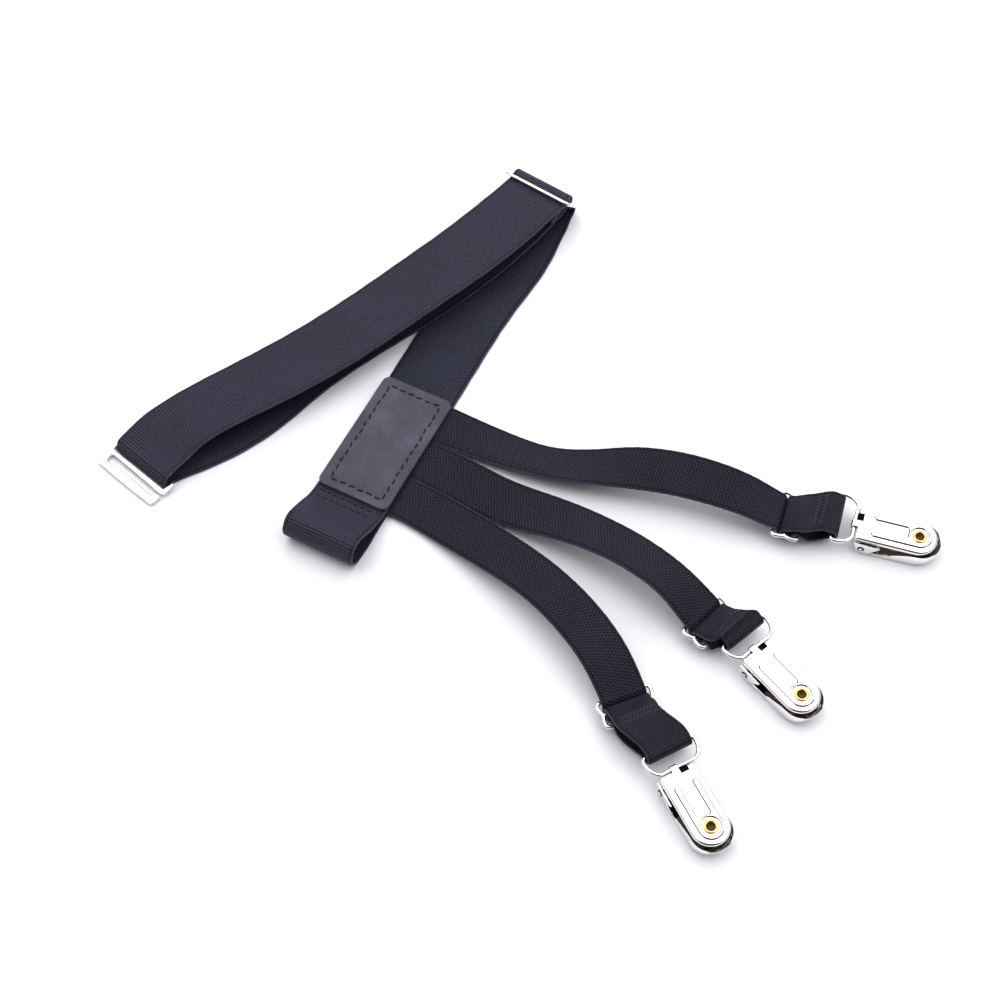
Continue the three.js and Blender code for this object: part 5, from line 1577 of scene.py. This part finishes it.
@dataclass
class Strap:
    """A 20 mm strap: tucked end, free run, slider, loop round the ring's bar and back."""

    number: int
    shape: StrapShape
    finishes: Finishes
    width: float = STRAP_WIDTH
    rise: float = 13.0
    jaw_depth: float = 8.0
    shift_end: float = 1.0

    def path(self) -> Path:
        """The strap's path. Also keeps where its slider, loop and ring lie."""
        patch_way, out = ahead(PATCH_HEADING), ahead(PATCH_HEADING - 90)
        seam = patch_way * (2 - self.number) * (self.width + GAP)
        rows = [Row(at, heading, lift * self.rise, bank) for at, heading, lift, bank in self.shape.rows]
        wire_width = self.width + 2 * WIRE_RADIUS
        bank = rows[-1].bank
        self.bank = bank
        self.height = OVER + WEB_THICK / 2 + FLOOR_GAP + wire_width / 2 * abs(math.sin(math.radians(bank)))
        start = WEB_FLOOR + LAYER_STEP
        rows[0] = Row(0, PATCH_HEADING - 90, start)
        rows[-1] = Row(1, rows[-1].heading, self.height + SNUG, bank)
        run = lay(rows, seam + out * PATCH_WIDTH / 2, self.shape.run, self.width)
        tuck = Path((seam + out * (PATCH_WIDTH / 2 - SEAM_TUCK) + UP * start)[None], run.side[:1])
        self.heading = rows[-1].heading
        self.origin = run.place[-1] * [1, 1, 0]
        bars = [(k * BAR_PITCH, self.height) for k in range(3)]
        self.ring_heading = self.heading + self.shape.ring_turn
        loop_start = bars[2][0]
        ring_bar = (self.shape.loop, self.jaw_depth + GAP)
        span = ring_bar[0] - loop_start
        fold_radius = SNUG + 2 * GAP
        top = ring_bar[1] + fold_radius
        under = arc(bars[2], SNUG, 180 - CROSSING, 60)
        low = np.array([[loop_start + span * at, top * up] for at, up in ((0.4, 0.42), (0.75, 0.36))])
        fold = arc(ring_bar, fold_radius, -90, 90)
        high = np.array([[loop_start + span * at, top * up]
                         for at, up in ((0.85, 1.06), (0.6, 1.16), (0.3, 1.18))])
        crossing = np.array([[loop_start + 0.3, self.height + OVER + 2.2]])
        wrap = 90 + math.degrees(math.asin((OVER - SNUG) / BAR_PITCH))
        points = np.concatenate([
            arc(bars[0], SNUG, 90, CROSSING), arc(bars[1], OVER, 180 + CROSSING, 360 - CROSSING), under[:-1],
            smooth_line(np.concatenate([under[-1:], low, fold[:1]]), 22)[:-1], fold[:-1],
            smooth_line(np.concatenate([fold[-1:], high, crossing]), 24), arc(bars[1], SNUG, wrap, 338),
        ])
        self.ring_plan = (self.origin + ahead(self.heading) * loop_start
                          + ahead(self.heading + self.shape.loop_turn) * span)
        share = ease(points[:, 0], loop_start + SNUG, ring_bar[0] - self.shift_end)[:, None]
        by_slider = self.origin + ahead(self.heading) * points[:, :1]
        by_ring = self.ring_plan + ahead(self.ring_heading) * (points[:, :1] - ring_bar[0])
        place = by_slider * (1 - share) + by_ring * share
        place[:, 2] = points[:, 1]
        share = share[:, 0]
        level_share = ease(points[:, 0], bars[1][0], loop_start + 6.0)
        end = Path(place, side_vectors(self.heading + self.shape.ring_turn * share, bank * (1 - level_share)))
        run.place, run.side = run.place[:-1], run.side[:-1]
        return tuck + run + end

    def build(self) -> None:
        """Makes the strap, its slider, ring, stitching and clip."""
        k = self.number
        path = self.path().evened(0.3, 1.1, 0.9)
        webbing(f"strap_elastic_{k}", path, self.width, self.finishes.strap_plush, self.finishes.strap_satin,
                f"strap_{k}")
        slider = Slider(self.width, 1.6)
        slider.build(f"strap_slider_wire_{k}", f"strap_slider_{k}", self.origin + UP * self.height,
                     self.heading, 0.0, -self.bank, self.finishes.nickel)
        clip_bar = self.ring_plan + ahead(self.ring_heading) * Ring.reach + UP * self.jaw_depth
        Ring(self.width).build(f"ring_wire_{k}", f"ring_{k}", clip_bar, self.ring_heading,
                               self.finishes.nickel)
        self.seams(path)
        Clip(k, self.finishes).build()

    def seams(self, path: Path) -> None:
        """The bartack that closes the loop, and the first strap's line of stitches."""
        length = path.reach()[-1]
        wrap = 12.0  # webbing round the slider's middle bar
        start = length - wrap - self.shape.loop * self.shape.tack
        points, faces = bartack(path, start, 6.0, self.width - 5, -1)
        # the bartack's thread is painted lighter than the sewing thread: a painted highlight
        SHOP.piece(f"strap_bartack_{self.number}", points, faces, self.finishes.lit_tack_thread, STAY)
        if self.number == 1:
            along = np.arange(SEAM_TUCK + 2, self.shape.run * 0.42, 3.4)
            place, direction, normal = Station(path).at(along, np.full(len(along), self.width / 2 - 3.2), 1)
            points, faces = stitches(place, direction, normal, 2.2, 0.22)
            SHOP.piece("strap_edge_stitches_1", points, faces, self.finishes.thread, STAY)


# Studio

@dataclass(frozen=True)
class Studio:
    """Pale floor, soft light and the photograph's camera."""

    camera_from_patch: tuple[float, float, float] = (49.2, -410.0, 665.1)
    elevation: float = 60.0
    lens: float = 64.8
    sensor: float = 36.0
    floor_size: float = 6.0

    def build(self) -> None:
        """Makes the camera, the lights and the floor."""
        scene = bpy.context.scene
        camera = bpy.data.objects.new("camera", bpy.data.cameras.new("camera"))
        camera.data.lens, camera.data.sensor_width = self.lens, self.sensor
        camera.data.clip_end = 20.0
        camera.location = (np.array(self.camera_from_patch) + SHOP.shift) * MM
        camera.rotation_euler = (math.radians(90 - self.elevation), 0.0, 0.0)
        scene.collection.objects.link(camera)
        scene.camera = camera
        scene.view_settings.view_transform = "Standard"
        self.floor()
        self.light("key_softbox", (0.1, 0.85, 1.5), 2.9, 33.0)
        self.light("fill_softbox", (0.95, -0.2, 1.4), 1.1, 3.5)
        self.light("left_softbox", (-0.8, 0.1, 1.5), 1.1, 3.5)
        scene.world = self.air()

    def air(self) -> bpy.types.World:
        """White overhead, dark towards the horizon and behind the camera, for outlines on the metal."""
        world = bpy.data.worlds.new("studio_air")
        world.use_nodes = True
        tree = world.node_tree
        way = add(tree, "TexCoord").outputs["Generated"]
        height = add(tree, "SeparateXYZ", {0: way}).outputs["Z"]
        dome = add(tree, "MapRange", {0: height, 1: 0.12, 2: 0.55, 3: 0.04, 4: 1.0},
                   interpolation_type="SMOOTHSTEP")
        room = add(tree, "VectorMath", {0: way, 1: (0.0, -0.86, 0.5)}, operation="DOT_PRODUCT")
        card = add(tree, "MapRange", {0: room.outputs["Value"], 1: 0.68, 2: 0.86, 3: 1.0, 4: 0.04},
                   interpolation_type="SMOOTHSTEP")
        bright = add(tree, "Math", {0: dome.outputs[0], 1: card.outputs[0]}, operation="MULTIPLY")
        colour = add(tree, "Mix", {0: bright.outputs[0], 6: linear("#2c2420"), 7: linear("#f4f3fa")},
                     data_type="RGBA")
        background = tree.nodes["Background"]
        tree.links.new(colour.outputs[2], background.inputs["Color"])
        background.inputs["Strength"].default_value = 1.0
        return world

    def floor(self) -> None:
        """A matte white sweep, nearly white with a trace of tooth."""
        half = self.floor_size / 2
        mesh = bpy.data.meshes.new("studio_floor")
        corners = [(-half, -half, 0), (half, -half, 0), (half, half, 0), (-half, half, 0)]
        mesh.from_pydata(corners, [], [(0, 1, 2, 3)])
        paper = Speckled("matte_paper", "#f4f4f6", 0.9, grain=0.8, dark="#ececf0", cover=0.3)
        mesh.materials.append(paper.build())
        floor = bpy.data.objects.new("studio_floor", mesh)
        bpy.context.scene.collection.objects.link(floor)

    def light(self, name: str, place: tuple[float, float, float], size: float, power: float) -> None:
        """One square area light that faces the stay."""
        data = bpy.data.lights.new(name, "AREA")
        data.size, data.energy = size, power
        lamp = bpy.data.objects.new(name, data)
        lamp.location = place
        x, y, z = place
        lamp.rotation_euler = (math.atan2(math.hypot(x, y), z), 0.0, math.atan2(-y, -x) - math.pi / 2)
        bpy.context.scene.collection.objects.link(lamp)


def main() -> None:
    """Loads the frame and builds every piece."""
    logging.basicConfig(level=logging.INFO, format="%(message)s")
    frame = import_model()
    SHOP.settle(frame)
    Studio().build()
    finishes = Finishes()
    ThighBand(finishes).build()
    Patch(finishes).build()
    for number, shape in enumerate(STRAPS, start=1):
        Strap(number, shape, finishes).build()
    LOG.info("%d pieces made", len(SHOP.made))
    bpy.context.view_layer.update()


if __name__ == "__main__":
    main()
